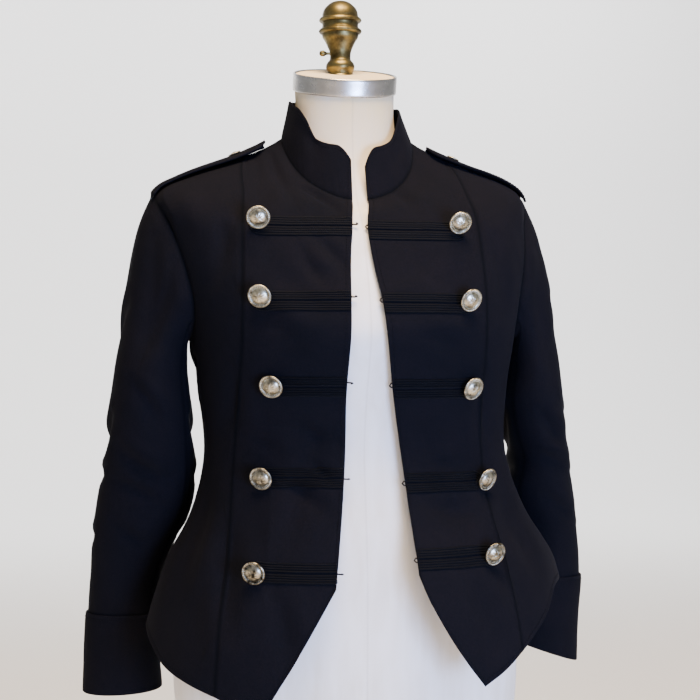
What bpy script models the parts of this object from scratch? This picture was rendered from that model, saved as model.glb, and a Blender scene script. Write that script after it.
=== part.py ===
"""Military-style jacket, worn open by a limbless dress form on a short table stand.

Metres, +Z up. The front faces -Y and +X is the viewer's right, which is also what "right" means below.
The origin is the centre of the stand's underside.

The form and the cloth over it are one family of rings. A ring runs round the body: its angle is 0 at
the centre front, 90 at the right side, 180 at the centre back and -90 at the left side. A level counts
the rings upwards, so a place on the body is an angle and a level. Seams are curves in angle and level, a
panel is the patch between four of them, and its wall is that patch and the same patch moved inwards.
"""

import math
from collections import namedtuple

import bmesh
import bpy
import numpy as np
from mathutils import Matrix, Vector

# Driving sizes
WALL = 0.002
SEAM_GAP = 0.0004
LAY_GAP = 0.0007

STAND_RADIUS = 0.150
STAND_THICKNESS = 0.014
POLE_RADIUS = 0.017
BOARD_THICKNESS = 0.008

NECK_TILT = math.radians(15)
NECK_RADIUS = 0.0572
NECK_CENTRE = Vector((0.0, 0.008, 0.890))
NECK_BLOCK_HEIGHT = 0.0195
BAND_HEIGHT = 0.0200
BAND_WALL = 0.0020

FINIAL_X = -0.0030
FINIAL_Y = 0.018
FINIAL_TOP = 0.9955

BUTTON_RADIUS = 0.0130
BUTTON_DROOP = 0.20
EPAULETTE_BUTTON_RADIUS = 0.0075
BRAID_WIDTH = 0.0098
BRAID_SLOT = 0.0016
BRAID_THICKNESS = 0.0016
BRAID_LIFT = 0.0010
COLLAR_WALL = 0.0026
STRAP_THICKNESS = 0.0028
HOOK_WIRE = 0.0006

# Rows and columns of faces on each piece
ROWS_BELOW_ARMPIT = 11
ROWS_ABOVE_ARMPIT = 9
ROWS_ON_SHOULDER = 3
FRONT_COLUMNS_TO_POINT = 5
FRONT_COLUMNS_PAST_POINT = 2
SIDE_COLUMNS = 4
BACK_COLUMNS = 6
FORM_COLUMNS = 32
HEAD_ROWS = 5
SLEEVE_ROWS = 8
COLLAR_ROWS = 4
DENSE = 24
BUTTON_SEGMENTS = 12
NECK_SEGMENTS = 24

# The dress form's rings, from the bottom up. Squareness 2 is an ellipse, and crown rounds a ring over the
# shoulder: 1 is a plane through the front, and more keeps it high for longer beside the shoulder seam.
Ring = namedtuple(
    "Ring", "name z_front z_side z_back half_width y_front y_side y_back squareness crown")
FORM_RINGS = (
    Ring("bottom", .1300, .1300, .1300, .180, -.125, .000, .120, 2.30, 1.0),
    Ring("thigh", .1850, .1850, .1850, .193, -.134, .000, .132, 2.30, 1.0),
    Ring("hip", .2600, .2600, .2600, .197, -.138, .000, .138, 2.25, 1.0),
    Ring("high_hip", .3500, .3500, .3500, .185, -.138, -.002, .122, 2.15, 1.0),
    Ring("belly", .4150, .4150, .4150, .169, -.130, -.005, .100, 2.15, 1.0),
    Ring("waist", .4800, .4800, .4800, .158, -.118, -.008, .088, 2.15, 1.0),
    Ring("rib", .5450, .5450, .5450, .162, -.134, -.010, .092, 2.20, 1.0),
    Ring("bust", .6050, .6050, .6000, .166, -.160, -.010, .103, 2.25, 1.0),
    Ring("armpit", .6420, .6500, .6480, .168, -.154, -.009, .108, 2.30, 1.0),
    Ring("chest", .6720, .7000, .6950, .175, -.140, -.008, .109, 2.30, 1.2),
    Ring("arm_plate", .6960, .7380, .7320, .187, -.128, -.006, .106, 2.30, 1.4),
    Ring("shoulder_point", .7160, .7650, .7640, .200, -.117, -.003, .100, 2.25, 1.5),
    Ring("shoulder", .7320, .7840, .7915, .174, -.105, .000, .090, 2.20, 1.5),
    Ring("mid_shoulder", .7450, .8045, .8170, .120, -.092, .004, .076, 2.10, 1.3),
    Ring("neck_base", .7570, .8330, .8450, .070, -.077, .010, .058, 2.00, 1.0),
    Ring("neck", .8050, .8550, .8650, .058, -.050, .008, .056, 2.00, 1.0),
    Ring("neck_top", .8752, .8900, .9048, .0572, -.0473, .008, .0633, 2.00, 1.0),
)
LEVEL = {ring.name: number for number, ring in enumerate(FORM_RINGS)}

# How far the cloth's outer face stands out from the form at each ring: at the left and right sides, at the
# front of the left and right halves, at the back, and upwards on the shoulders.
Ease = namedtuple("Ease", "ring left right front_left front_right back up")
GARMENT_EASE = (
    Ease("bottom", .048, .052, .060, .105, .032, 0),
    Ease("thigh", .043, .051, .053, .096, .032, 0),
    Ease("hip", .037, .056, .046, .080, .030, 0),
    Ease("high_hip", .023, .056, .030, .052, .024, 0),
    Ease("belly", .008, .035, .018, .026, .015, 0),
    Ease("waist", .005, .024, .013, .015, .011, 0),
    Ease("rib", .008, .020, .011, .013, .010, 0),
    Ease("bust", .013, .023, .008, .009, .008, 0),
    Ease("armpit", .022, .029, .008, .009, .008, .001),
    Ease("chest", .028, .031, .007, .007, .007, .002),
    Ease("arm_plate", .025, .018, .006, .006, .006, .004),
    Ease("shoulder_point", .020, .005, .005, .005, .006, .0045),
    Ease("shoulder", .010, .005, .0055, .0055, .0055, .0050),
    Ease("mid_shoulder", .004, .004, .0065, .0065, .0060, .0055),
    Ease("neck_base", .0030, .0085, .0040, .0040, .0032, .0012),
    Ease("neck", .006, .006, .006, .006, .006, 0),
    Ease("neck_top", .006, .006, .006, .006, .006, 0),
)

# Where the seams cross each ring, as the distance across from the centre: the two open front edges, and the
# princess seams of the front and of the back, which are alike on both sides.
Seams = namedtuple("Seams", "ring edge_left edge_right princess back_princess")
SEAM_PLACES = (
    Seams("bottom", -.052, .052, .172, .105),
    Seams("thigh", -.050, .052, .168, .100),
    Seams("hip", -.047, .051, .162, .094),
    Seams("high_hip", -.0375, .047, .154, .086),
    Seams("belly", -.0290, .0435, .143, .078),
    Seams("waist", -.0225, .0378, .137, .074),
    Seams("rib", -.0235, .0260, .134, .080),
    Seams("bust", -.0225, .0160, .133, .092),
    Seams("armpit", -.0210, .0120, .133, .100),
    Seams("chest", -.0190, .0075, .132, .106),
    Seams("arm_plate", -.0165, .0045, .131, .112),
    Seams("shoulder_point", -.0130, .0035, .130, .118),
    Seams("shoulder", -.0110, .0050, .127, .122),
    Seams("mid_shoulder", -.0085, .0085, .122, .122),
    Seams("neck_base", -.0060, .0110, .122, .122),
)
PRINCESS_TOP = LEVEL["shoulder"] + 1.15

# The hem's height by angle. The front edge turns outwards at the kink and runs straight to the front point.
Hem = namedtuple("Hem", "angle left right")
HEM_HEIGHTS = (
    Hem(0, .3420, .3580),
    Hem(24, .2050, .2410),
    Hem(35, .2200, .2680),
    Hem(42, .2300, .2830),
    Hem(50, .2380, .3010),
    Hem(57, .2445, .3220),
    Hem(66, .2540, .3330),
    Hem(78, .2740, .3330),
    Hem(90, .2850, .3330),
    Hem(125, .3000, .3280),
    Hem(180, .3150, .3150),
)
HEM_KINK = {-1: .3420, 1: .3580}
HEM_POINT_ANGLE = {-1: 27, 1: 23.6}
FRONT_POINT_BEND = {-1: 1.0, 1: 1.5}

# Armholes, as a D round the side of the body
ARMHOLE_BOTTOM = LEVEL["bust"]
ARMHOLE_TOP = LEVEL["shoulder_point"]
ARMHOLE_FRONT_ANGLE = 21
ARMHOLE_BACK_ANGLE = 24

# The largest folds of the body: a trough (or a ridge, where the depth is negative) between two places.
Fold = namedtuple("Fold", "angle_a level_a angle_b level_b half_width depth")
BODY_FOLDS = (
    Fold(-16, 13.2, -6, 12.2, .010, .0030),
    Fold(-30, 9.6, -12, 7.6, .014, .0040),
    Fold(-20, 5.2, -28, 3.2, .016, .0045),
    Fold(-44, 4.0, -52, 2.3, .020, .0070),
    Fold(-72, 4.2, -66, 2.0, .018, .0060),
    Fold(24, 5.0, 30, 3.0, .016, .0050),
    Fold(50, 4.6, 57, 2.8, .020, .0080),
    Fold(22, 9.0, 34, 7.4, .014, .0035),
    Fold(112, 4.6, 110, 2.4, .022, .0080),
    Fold(-112, 4.4, -114, 2.0, .022, .0080),
    Fold(152, 4.6, 156, 2.2, .020, .0060),
    Fold(-154, 4.8, -150, 2.4, .020, .0060),
)

# Sleeve rings below the armpit: height, centre, half width across and half depth front to back
Cuffward = namedtuple("Cuffward", "z x y half_width half_depth")
SLEEVE_RINGS = {
    -1: (
        Cuffward(.572, -.2220, .006, .0410, .0600),
        Cuffward(.520, -.2220, .016, .0469, .0570),
        Cuffward(.470, -.2220, .030, .0516, .0530),
        Cuffward(.420, -.2259, .046, .0552, .0490),
        Cuffward(.370, -.2390, .062, .0475, .0460),
        Cuffward(.320, -.2485, .076, .0400, .0430),
        Cuffward(.270, -.2510, .086, .0400, .0410),
        Cuffward(.180, -.2500, .092, .0425, .0400),
    ),
    1: (
        Cuffward(.572, .2207, .010, .0332, .0600),
        Cuffward(.520, .2235, .020, .0400, .0580),
        Cuffward(.470, .2384, .034, .0350, .0560),
        Cuffward(.420, .2430, .050, .0420, .0520),
        Cuffward(.370, .2585, .066, .0360, .0480),
        Cuffward(.320, .2640, .078, .0370, .0450),
        Cuffward(.270, .2590, .085, .0400, .0430),
        Cuffward(.180, .2550, .090, .0415, .0420),
    ),
}
CUFF_TOP = {-1: .2885, 1: .3215}
CUFF_BOTTOM = {-1: .1960, 1: .2290}
CUFF_SHARES = (0, .12, .55, 1)
CUFF_SLANT = {-1: .002, 1: .015}
CUFF_FLARE = .0015
SLEEVE_FRONT_SEAM = 2
SLEEVE_BACK_SEAM = 14

# The collar's upper edge by angle, on each side of the centre back
CollarTop = namedtuple("CollarTop", "angle left right")
COLLAR_TOPS = (
    CollarTop(0, .8180, .8170),
    CollarTop(25, .8220, .8210),
    CollarTop(40, .8270, .8250),
    CollarTop(52, .8500, .8400),
    CollarTop(66, .8660, .8580),
    CollarTop(90, .8780, .8720),
    CollarTop(180, .8880, .8880),
)
COLLAR_TOP_HALF_WIDTH = .0640
COLLAR_TOP_FRONT_Y = -.066
COLLAR_TOP_SIDE_Y = .008
COLLAR_TOP_BACK_Y = .0715
COLLAR_CORNER = {-1: .018, 1: .026}

# Epaulettes, by their share of the way from the armhole to the free end
STRAP_START = ARMHOLE_TOP + 0.02
STRAP_END = PRINCESS_TOP + 0.42
STRAP_HALF_WIDTHS = ((0.0, .0235), (.80, .0190), (.93, .0150), (1.0, .0035))
STRAP_STEPS = (0, .12, .25, .38, .51, .63, .74, .84, .93, 1)
STRAP_ACROSS = (-1, -.5, 0, .5, 1)
STRAP_BUTTON_SHARE = .76
STRAP_FOOT_LIFT = {-1: .0006, 1: .0018}
STRAP_END_LIFT = {-1: .0062, 1: .0010}

# Buttons, as their distance across and their height, with the row of braid a little lower. Sunk is how much
# closer to the cloth a button sits where the slot in its braid runs under it.
ButtonPlace = namedtuple("ButtonPlace", "side row x z braid_z sunk")
BUTTON_PLACES = (
    ButtonPlace(-1, 1, -.1130, .7310, .7255, .0009),
    ButtonPlace(-1, 2, -.1125, .6505, .6445, .0006),
    ButtonPlace(-1, 3, -.1000, .5570, .5540, 0),
    ButtonPlace(-1, 4, -.1075, .4560, .4560, 0),
    ButtonPlace(-1, 5, -.1180, .3585, .3580, 0),
    ButtonPlace(1, 1, .1030, .7280, .7220, 0),
    ButtonPlace(1, 2, .1065, .6470, .6425, 0),
    ButtonPlace(1, 3, .1140, .5540, .5515, 0),
    ButtonPlace(1, 4, .1330, .4510, .4500, 0),
    ButtonPlace(1, 5, .1295, .3735, .3725, 0),
)

# Hooks lie inside the left front edge and reach past it, and eyes lie inside the right one: distance past
# the edge, distance up the edge, and depth below the cloth's inner face.
HOOK_SHAPE = (
    (-.0070, 0, .0004), (.0020, 0, .0004), (.0046, 0, .0000), (.0056, 0, -.0012), (.0040, 0, -.0026))
EYE_SHAPE = (
    (-.0060, -.0022, .0001), (.0004, -.0022, .0001), (.0020, 0, .0001), (.0004, .0022, .0001),
    (-.0060, .0022, .0001))

# The levels that the form's own faces turn at, and how far it draws back under the cloth
FORM_LEVELS = (0, .5, 1, 1.7, 2.4, 3.1, 3.8, 4.5, 5.2, 5.9, 6.5, 7.1, 7.8, 8.6, 9.4, 10.2, 10.9, 11.5, 12.2,
               13, 13.5, 14, 14.4, 14.9, 16)
FORM_SETBACK = .0004

# Turned profiles, from the top down: height below the top, radius
FINIAL_PROFILE = (
    (.0000, .0000), (.0005, .0030), (.0020, .0085), (.0060, .0140), (.0104, .0178), (.0173, .0198),
    (.0200, .0206), (.0230, .0236), (.0255, .0206), (.0288, .0203), (.0335, .0206), (.0358, .0238),
    (.0385, .0206), (.0427, .0200), (.0473, .0170), (.0531, .0143), (.0590, .0121), (.0692, .0116),
    (.0715, .0138), (.0727, .0143), (.0773, .0162), (.0800, .0155), (.0960, .0146), (.0960, .0000),
)
BUTTON_PROFILE = (
    (.0000, .000), (.0006, .38), (.0022, .74), (.0032, .90), (.0040, 1.0), (.0052, .92), (.0055, .26),
    (.0084, .26), (.0084, .0),
)

CLOTH = ("jacket_cloth", (.012, .013, .019), .85, 0)
BRAID = ("jacket_braid", (.008, .009, .013), .60, 0)
LINEN = ("form_linen", (.72, .70, .66), .80, 0)
SILVER = ("silver_plate", (.72, .70, .66), .28, 1)
STEEL = ("brushed_steel", (.60, .60, .59), .35, 1)
BRASS = ("aged_brass", (.45, .29, .11), .35, 1)
BLACK_METAL = ("black_metal", (.02, .02, .022), .45, 1)
BOARD = ("plain_board", (.36, .25, .15), .70, 0)


# Ring surface

def blend_rows(table, level):
    """A row of the table at any level, on a smooth curve through the rows."""
    last = len(table) - 1
    level = min(max(level, 0.0), float(last))
    low = min(int(level), last - 1)
    t = level - low
    before, start, end, after = (table[min(max(low + step, 0), last)] for step in (-1, 0, 1, 2))
    return 0.5 * (2 * start + (end - before) * t + (2 * before - 5 * start + 4 * end - after) * t ** 2
                  + (3 * start - before - 3 * end + after) * t ** 3)


RING_TABLE = np.array([ring[1:] for ring in FORM_RINGS])
EASE_TABLE = np.array([ease[1:] for ease in GARMENT_EASE])
SEAM_TABLE = np.array([seams[1:] for seams in SEAM_PLACES])


def ring_point(angle, level, eased):
    """A point of the form, or of the cloth's outer face before its folds where eased is True."""
    heights_and_reach = blend_rows(RING_TABLE, level)
    z_front, z_side, z_back, half_width, y_front, y_side, y_back, squareness, crown = heights_and_reach
    if eased:
        left, right, front_left, front_right, back, up = blend_rows(EASE_TABLE, level)
        half_width += right if angle >= 0 else left
        y_front -= front_right if angle >= 0 else front_left
        y_back += back
        z_front, z_side, z_back = z_front + up, z_side + up, z_back + up
    turn = math.radians(angle)
    across = math.copysign(abs(math.sin(turn)) ** (2 / squareness), math.sin(turn))
    along = abs(math.cos(turn)) ** (2 / squareness)
    y_end, z_end = (y_front, z_front) if math.cos(turn) > 0 else (y_back, z_back)
    return np.array((half_width * across, y_side + (y_end - y_side) * along,
                     z_side + (z_end - z_side) * along ** crown))


def outward(angle, level, eased):
    """The surface's outward direction, from its slopes round and up."""
    step_angle, step_level = 0.8, 0.04
    low, high = max(level - step_level, 0), min(level + step_level, len(FORM_RINGS) - 1)
    side = math.copysign(1, angle)
    round_low, round_high = angle - step_angle, angle + step_angle
    if side > 0:
        round_low, round_high = max(round_low, 0), min(round_high, 180)
    else:
        round_low, round_high = max(round_low, -180), min(round_high, 0)
        if round_high == 0:
            round_high = -1e-6
    across = ring_point(round_high, level, eased) - ring_point(round_low, level, eased)
    upward = ring_point(angle, high, eased) - ring_point(angle, low, eased)
    normal = np.cross(across, upward)
    return normal / np.linalg.norm(normal)


def flat_place(angle, level):
    """A place as metres round the body and metres up, to measure folds in."""
    mean_radius = 0.17
    ring = blend_rows(RING_TABLE, level)
    return np.array((math.radians(angle) * mean_radius, ring[1]))


def fold_depth(angle, level):
    """How far the folds draw the cloth in at a place."""
    place = flat_place(angle, level)
    depth = 0.0
    for fold in BODY_FOLDS:
        start = flat_place(fold.angle_a, fold.level_a)
        run = flat_place(fold.angle_b, fold.level_b) - start
        share = float(np.clip(np.dot(place - start, run) / np.dot(run, run), 0, 1))
        distance = np.linalg.norm(place - start - share * run)
        swell = 0.35 + 0.65 * math.sin(math.pi * min(0.15 + 0.85 * share, 1.0))
        depth += fold.depth * swell * math.exp(-(distance / fold.half_width) ** 2)
    return depth


def cloth_point(angle, level):
    """A point on the cloth's outer face, and the outward direction there."""
    normal = outward(angle, level, True)
    point = ring_point(angle, level, True) - fold_depth(angle, level) * normal
    spare = float(np.dot(point - ring_point(angle, level, False), outward(angle, level, False)))
    shortfall = WALL + 0.0008 - spare
    if shortfall > 0:
        point = point + shortfall * normal
    return point, normal


# Seams in angle and level

def level_at_height(z, column):
    """The level whose front (0), side (1) or back (2) height is z."""
    low, high = 0.0, float(LEVEL["neck_base"])
    for _ in range(40):
        middle = (low + high) / 2
        low, high = (middle, high) if blend_rows(RING_TABLE, middle)[column] < z else (low, middle)
    return low


def angle_at_distance(x, level, side, at_back):
    """The angle at which the cloth's outer face lies x from the centre."""
    half_width, squareness = blend_rows(RING_TABLE, level)[[3, 7]]
    half_width += blend_rows(EASE_TABLE, level)[1 if side > 0 else 0]
    share = min(abs(x) / half_width, 1.0)
    angle = math.degrees(math.asin(share ** (squareness / 2)))
    return side * (180 - angle if at_back else angle)


def seam_angle(column, level, side):
    """The angle of a seam at a level: 0 front edge, 2 front princess, 3 back princess."""
    place = blend_rows(SEAM_TABLE, level)
    x = place[1 if side > 0 else 0] if column == 0 else place[column]
    return angle_at_distance(x, level, side, column == 3)


def hem_height(angle, side):
    """The hem's height at an angle, outside the kinked front corner."""
    angles = [row.angle for row in HEM_HEIGHTS]
    heights = [row.right if side > 0 else row.left for row in HEM_HEIGHTS]
    return float(np.interp(abs(angle), angles, heights))


def hem_place(angle, side):
    """The hem as angle and level."""
    return np.array((angle, level_at_height(hem_height(angle, side), 1)))


def even(places, count):
    """A seam's places spaced evenly along the cloth."""
    points = np.array([ring_point(angle, level, True) for angle, level in places])
    lengths = np.concatenate(([0], np.cumsum(np.linalg.norm(np.diff(points, axis=0), axis=1))))
    wanted = np.linspace(0, lengths[-1], count + 1)
    table = np.array(places)
    return [np.array((np.interp(stop, lengths, table[:, 0]), np.interp(stop, lengths, table[:, 1])))
            for stop in wanted]


def spread(start, end, count):
    return [start + (end - start) * number / count for number in range(count + 1)]


def seam_run(column, side, levels):
    return [np.array((seam_angle(column, level, side), level)) for level in levels]


def armhole_place(share, side, face):
    """The armhole from the armpit (0) to the shoulder point (1), on its front (-1) or back (1) face."""
    turn = math.pi * (share - 0.5)
    middle = (ARMHOLE_TOP + ARMHOLE_BOTTOM) / 2
    half = (ARMHOLE_TOP - ARMHOLE_BOTTOM) / 2
    reach = ARMHOLE_FRONT_ANGLE if face < 0 else ARMHOLE_BACK_ANGLE
    away = reach * math.cos(turn) * (1 - 0.22 * math.sin(turn))
    return np.array((side * (90 + face * away), middle + half * math.sin(turn)))


def patch(left, right, bottom, top):
    """Places across a panel between its four edges. Each edge is a list that starts at the lower left."""
    rows, columns = len(left), len(bottom)
    places = np.zeros((rows, columns, 2))
    for row in range(rows):
        up = row / (rows - 1)
        for column in range(columns):
            over = column / (columns - 1)
            sides = (1 - over) * left[row] + over * right[row]
            ends = (1 - up) * bottom[column] + up * top[column]
            corners = ((1 - over) * ((1 - up) * bottom[0] + up * top[0])
                       + over * ((1 - up) * bottom[-1] + up * top[-1]))
            places[row, column] = sides + ends - corners
    return places


# Walls

def unit(vectors):
    return vectors / np.linalg.norm(vectors, axis=-1, keepdims=True)


def draw_in(grid, gap, edges="lrbt"):
    """The grid with its named edges drawn back by the gap, square to each edge."""
    moved = grid.copy()
    lines = {"l": (grid[:, 0], grid[:, 1]), "r": (grid[:, -1], grid[:, -2]),
             "b": (grid[0], grid[1]), "t": (grid[-1], grid[-2])}
    targets = {"l": moved[:, 0], "r": moved[:, -1], "b": moved[0], "t": moved[-1]}
    for name in edges:
        edge, inner = lines[name]
        along = unit(np.gradient(edge, axis=0))
        away = inner - edge
        away = away - np.sum(away * along, axis=-1, keepdims=True) * along
        targets[name] += gap * unit(away)
    return moved


def mesh_object(name, points, faces, material, collection):
    """A closed body from points and faces, with its faces turned outwards."""
    mesh = bpy.data.meshes.new(name)
    mesh.from_pydata([tuple(point) for point in points], [], faces)
    work = bmesh.new()
    work.from_mesh(mesh)
    bmesh.ops.recalc_face_normals(work, faces=work.faces)
    work.to_mesh(mesh)
    work.free()
    mesh.shade_smooth()
    mesh.set_sharp_from_angle(angle=math.radians(50))
    body = bpy.data.objects.new(name, mesh)
    body.data.materials.append(material)
    collection.objects.link(body)
    return body


def wall_object(name, outer, inner, material, collection, tube=False):
    """A wall between two grids of points: a sheet with four edges, or a tube closed across its columns."""
    rows, columns = outer.shape[:2]
    points = list(outer.reshape(-1, 3)) + list(inner.reshape(-1, 3))
    shift = rows * columns
    steps = columns if tube else columns - 1
    faces = []
    for row in range(rows - 1):
        for column in range(steps):
            after = (column + 1) % columns
            low, low_after = row * columns + column, row * columns + after
            high, high_after = low + columns, low_after + columns
            for corners in ((low, low_after, high_after), (low, high_after, high)):
                faces.append(corners)
                faces.append(tuple(shift + corner for corner in reversed(corners)))
    for column in range(steps):
        after = (column + 1) % columns
        for first in (0, (rows - 1) * columns):
            edge = (first + column, first + after)
            faces.append((edge[1], edge[0], shift + edge[0], shift + edge[1]))
    if not tube:
        for row in range(rows - 1):
            for column in (0, columns - 1):
                edge = (row * columns + column, (row + 1) * columns + column)
                faces.append((edge[0], edge[1], shift + edge[1], shift + edge[0]))
    return mesh_object(name, points, faces, material, collection)


def loft_object(name, rings, material, collection):
    """A closed body through rings of points, capped at both ends."""
    count = len(rings[0])
    points = [point for ring in rings for point in ring]
    faces = [tuple(range(count)), tuple((len(rings) - 1) * count + corner for corner in range(count))]
    for row in range(len(rings) - 1):
        for corner in range(count):
            after = (corner + 1) % count
            low, low_after = row * count + corner, row * count + after
            high, high_after = low + count, low_after + count
            faces += [(low, low_after, high_after), (low, high_after, high)]
    return mesh_object(name, points, faces, material, collection)


# Body panels

class Panel:
    """One cut piece of the body: its outer points, outward directions and wall."""

    def __init__(self, name, edges, side, centre=None):
        """The four edges are places. A centre panel, "front" or "back", is filled in by distance across."""
        self.name = name
        if centre:
            across = [[np.array((ring_point(angle, level, True)[0], level)) for angle, level in edge]
                      for edge in edges]
            places = [[(angle_at_distance(x, level, side, centre == "back"), level) for x, level in row]
                      for row in patch(*across)]
        else:
            places = patch(*edges)
        pairs = [[cloth_point(*place) for place in row] for row in places]
        self.outer = np.array([[pair[0] for pair in row] for row in pairs])
        self.normals = np.array([[pair[1] for pair in row] for row in pairs])

    def build(self, material, collection):
        inner = self.outer - WALL * self.normals
        wall_object(self.name, draw_in(self.outer, SEAM_GAP / 2), draw_in(inner, SEAM_GAP / 2),
                    material, collection)

    def place_at(self, x, z):
        """Column and row at a distance across and a height, found by closing in on it."""
        rows, columns = self.outer.shape[:2]
        column, row, reach_c, reach_r = (columns - 1) / 2, (rows - 1) / 2, (columns - 1) / 2, (rows - 1) / 2
        steps = 13
        for _ in range(7):
            best = None
            for c in np.linspace(max(column - reach_c, 0), min(column + reach_c, columns - 1), steps):
                for r in np.linspace(max(row - reach_r, 0), min(row + reach_r, rows - 1), steps):
                    point = self.point(c, r)
                    miss = (point[0] - x) ** 2 + (point[2] - z) ** 2
                    if best is None or miss < best[0]:
                        best = (miss, c, r)
            _, column, row = best
            reach_c, reach_r = reach_c / 3, reach_r / 3
        return column, row

    def mix(self, grid, column, row):
        """A grid's value within one of the wall's own triangles."""
        low_c = min(int(column), grid.shape[1] - 2)
        low_r = min(int(row), grid.shape[0] - 2)
        over, up = column - low_c, row - low_r
        start, end = grid[low_r, low_c], grid[low_r + 1, low_c + 1]
        if over > up:
            return (1 - over) * start + (over - up) * grid[low_r, low_c + 1] + up * end
        return (1 - up) * start + (up - over) * grid[low_r + 1, low_c] + over * end

    def point(self, column, row):
        return self.mix(self.outer, column, row)

    def normal(self, column, row):
        return unit(self.mix(self.normals, column, row))

    def lifted(self, column, row, height):
        return self.point(column, row) + height * self.normal(column, row)

    def column_distances(self, z):
        """How far across each column lies at a height."""
        return [float(np.interp(z, self.outer[:, column, 2], self.outer[:, column, 0]))
                for column in range(self.outer.shape[1])]


def side_name(side):
    return "right" if side > 0 else "left"


def body_panels(side):
    """The four cut pieces of one half of the body, keyed by their plain names."""
    word = side_name(side)
    armpit = float(ARMHOLE_BOTTOM)
    neck = float(LEVEL["neck_base"])
    shoulder_levels = spread(PRINCESS_TOP, neck, ROWS_ON_SHOULDER)
    shoulder_in = [np.array((side * 90, level)) for level in shoulder_levels]
    shoulder_out = [np.array((side * 90, level))
                    for level in spread(PRINCESS_TOP, ARMHOLE_TOP, SIDE_COLUMNS)]

    def full_seam(column):
        """A princess seam from the hem to the neck, with the shoulder seam above its end."""
        foot = side * (40 if column == 2 else 150)
        for _ in range(7):
            foot = seam_angle(column, hem_place(foot, side)[1], side)
        lower = seam_run(column, side, spread(hem_place(foot, side)[1], armpit, DENSE))
        upper = seam_run(column, side, spread(armpit, PRINCESS_TOP, DENSE))
        upper[-1] = np.array((side * 90, PRINCESS_TOP))
        return even(lower, ROWS_BELOW_ARMPIT) + even(upper, ROWS_ABOVE_ARMPIT)[1:], shoulder_in[1:]

    front_seam, to_neck = full_seam(2)
    back_seam, _ = full_seam(3)
    side_levels = spread(hem_place(90, side)[1], armpit, DENSE)
    side_seam = even([np.array((side * 90, level)) for level in side_levels], ROWS_BELOW_ARMPIT)
    holes = {face: [armhole_place(share, side, face) for share in spread(0, 1, ROWS_ABOVE_ARMPIT)]
             for face in (-1, 1)}

    upper_rows = ROWS_ABOVE_ARMPIT + ROWS_ON_SHOULDER
    kink_level = level_at_height(HEM_KINK[side], 0)
    edge = (even(seam_run(0, side, spread(kink_level, armpit, DENSE)), ROWS_BELOW_ARMPIT)
            + even(seam_run(0, side, spread(armpit, neck, DENSE)), upper_rows)[1:])

    point = hem_place(side * HEM_POINT_ANGLE[side], side)
    slant = [edge[0] + (point - edge[0]) * np.array((share ** FRONT_POINT_BEND[side], share))
             for share in spread(0, 1, FRONT_COLUMNS_TO_POINT)]
    past = [hem_place(angle, side)
            for angle in spread(point[0], front_seam[0][0], FRONT_COLUMNS_PAST_POINT)]
    front_hem = slant + past[1:]
    front_columns = len(front_hem) - 1

    def neckline(start, count):
        return [np.array((angle, neck)) for angle in spread(start, side * 90, count)]

    back_hem = [hem_place(angle, side) for angle in spread(side * 180, back_seam[0][0], BACK_COLUMNS)]
    lower_back = [np.array((side * 180, level)) for level in spread(hem_place(180, side)[1], armpit, DENSE)]
    upper_back = [np.array((side * 180, level)) for level in spread(armpit, neck, DENSE)]
    centre_back = even(lower_back, ROWS_BELOW_ARMPIT) + even(upper_back, upper_rows)[1:]

    def side_hem(start):
        return [hem_place(angle, side) for angle in spread(start, side * 90, SIDE_COLUMNS)]

    return {
        "front": Panel("front_" + word, (edge, front_seam + to_neck, front_hem,
                                         neckline(edge[-1][0], front_columns)), side, "front"),
        "side_front": Panel("side_front_" + word, (front_seam, side_seam + holes[-1][1:],
                                                   side_hem(front_seam[0][0]), shoulder_out), side),
        "side_back": Panel("side_back_" + word, (back_seam, side_seam + holes[1][1:],
                                                 side_hem(back_seam[0][0]), shoulder_out), side),
        "back": Panel("back_" + word, (centre_back, back_seam + to_neck, back_hem,
                                       neckline(side * 180, BACK_COLUMNS)), side, "back"),
    }


# Sleeves and cuffs

def sleeve_ring(side, z, turns):
    """A ring of the lower sleeve at a height: turn 0 faces the body, and a quarter turn is its front."""
    table = np.array(SLEEVE_RINGS[side])[::-1]
    level = float(np.interp(z, table[:, 0], range(len(table))))
    _, x, y, half_width, half_depth = blend_rows(table, level)
    return np.array([(x - side * half_width * math.cos(turn), y - half_depth * math.sin(turn), z)
                     for turn in turns])


def cuff_height(side, share):
    return CUFF_TOP[side] + (CUFF_BOTTOM[side] - CUFF_TOP[side]) * share


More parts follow.
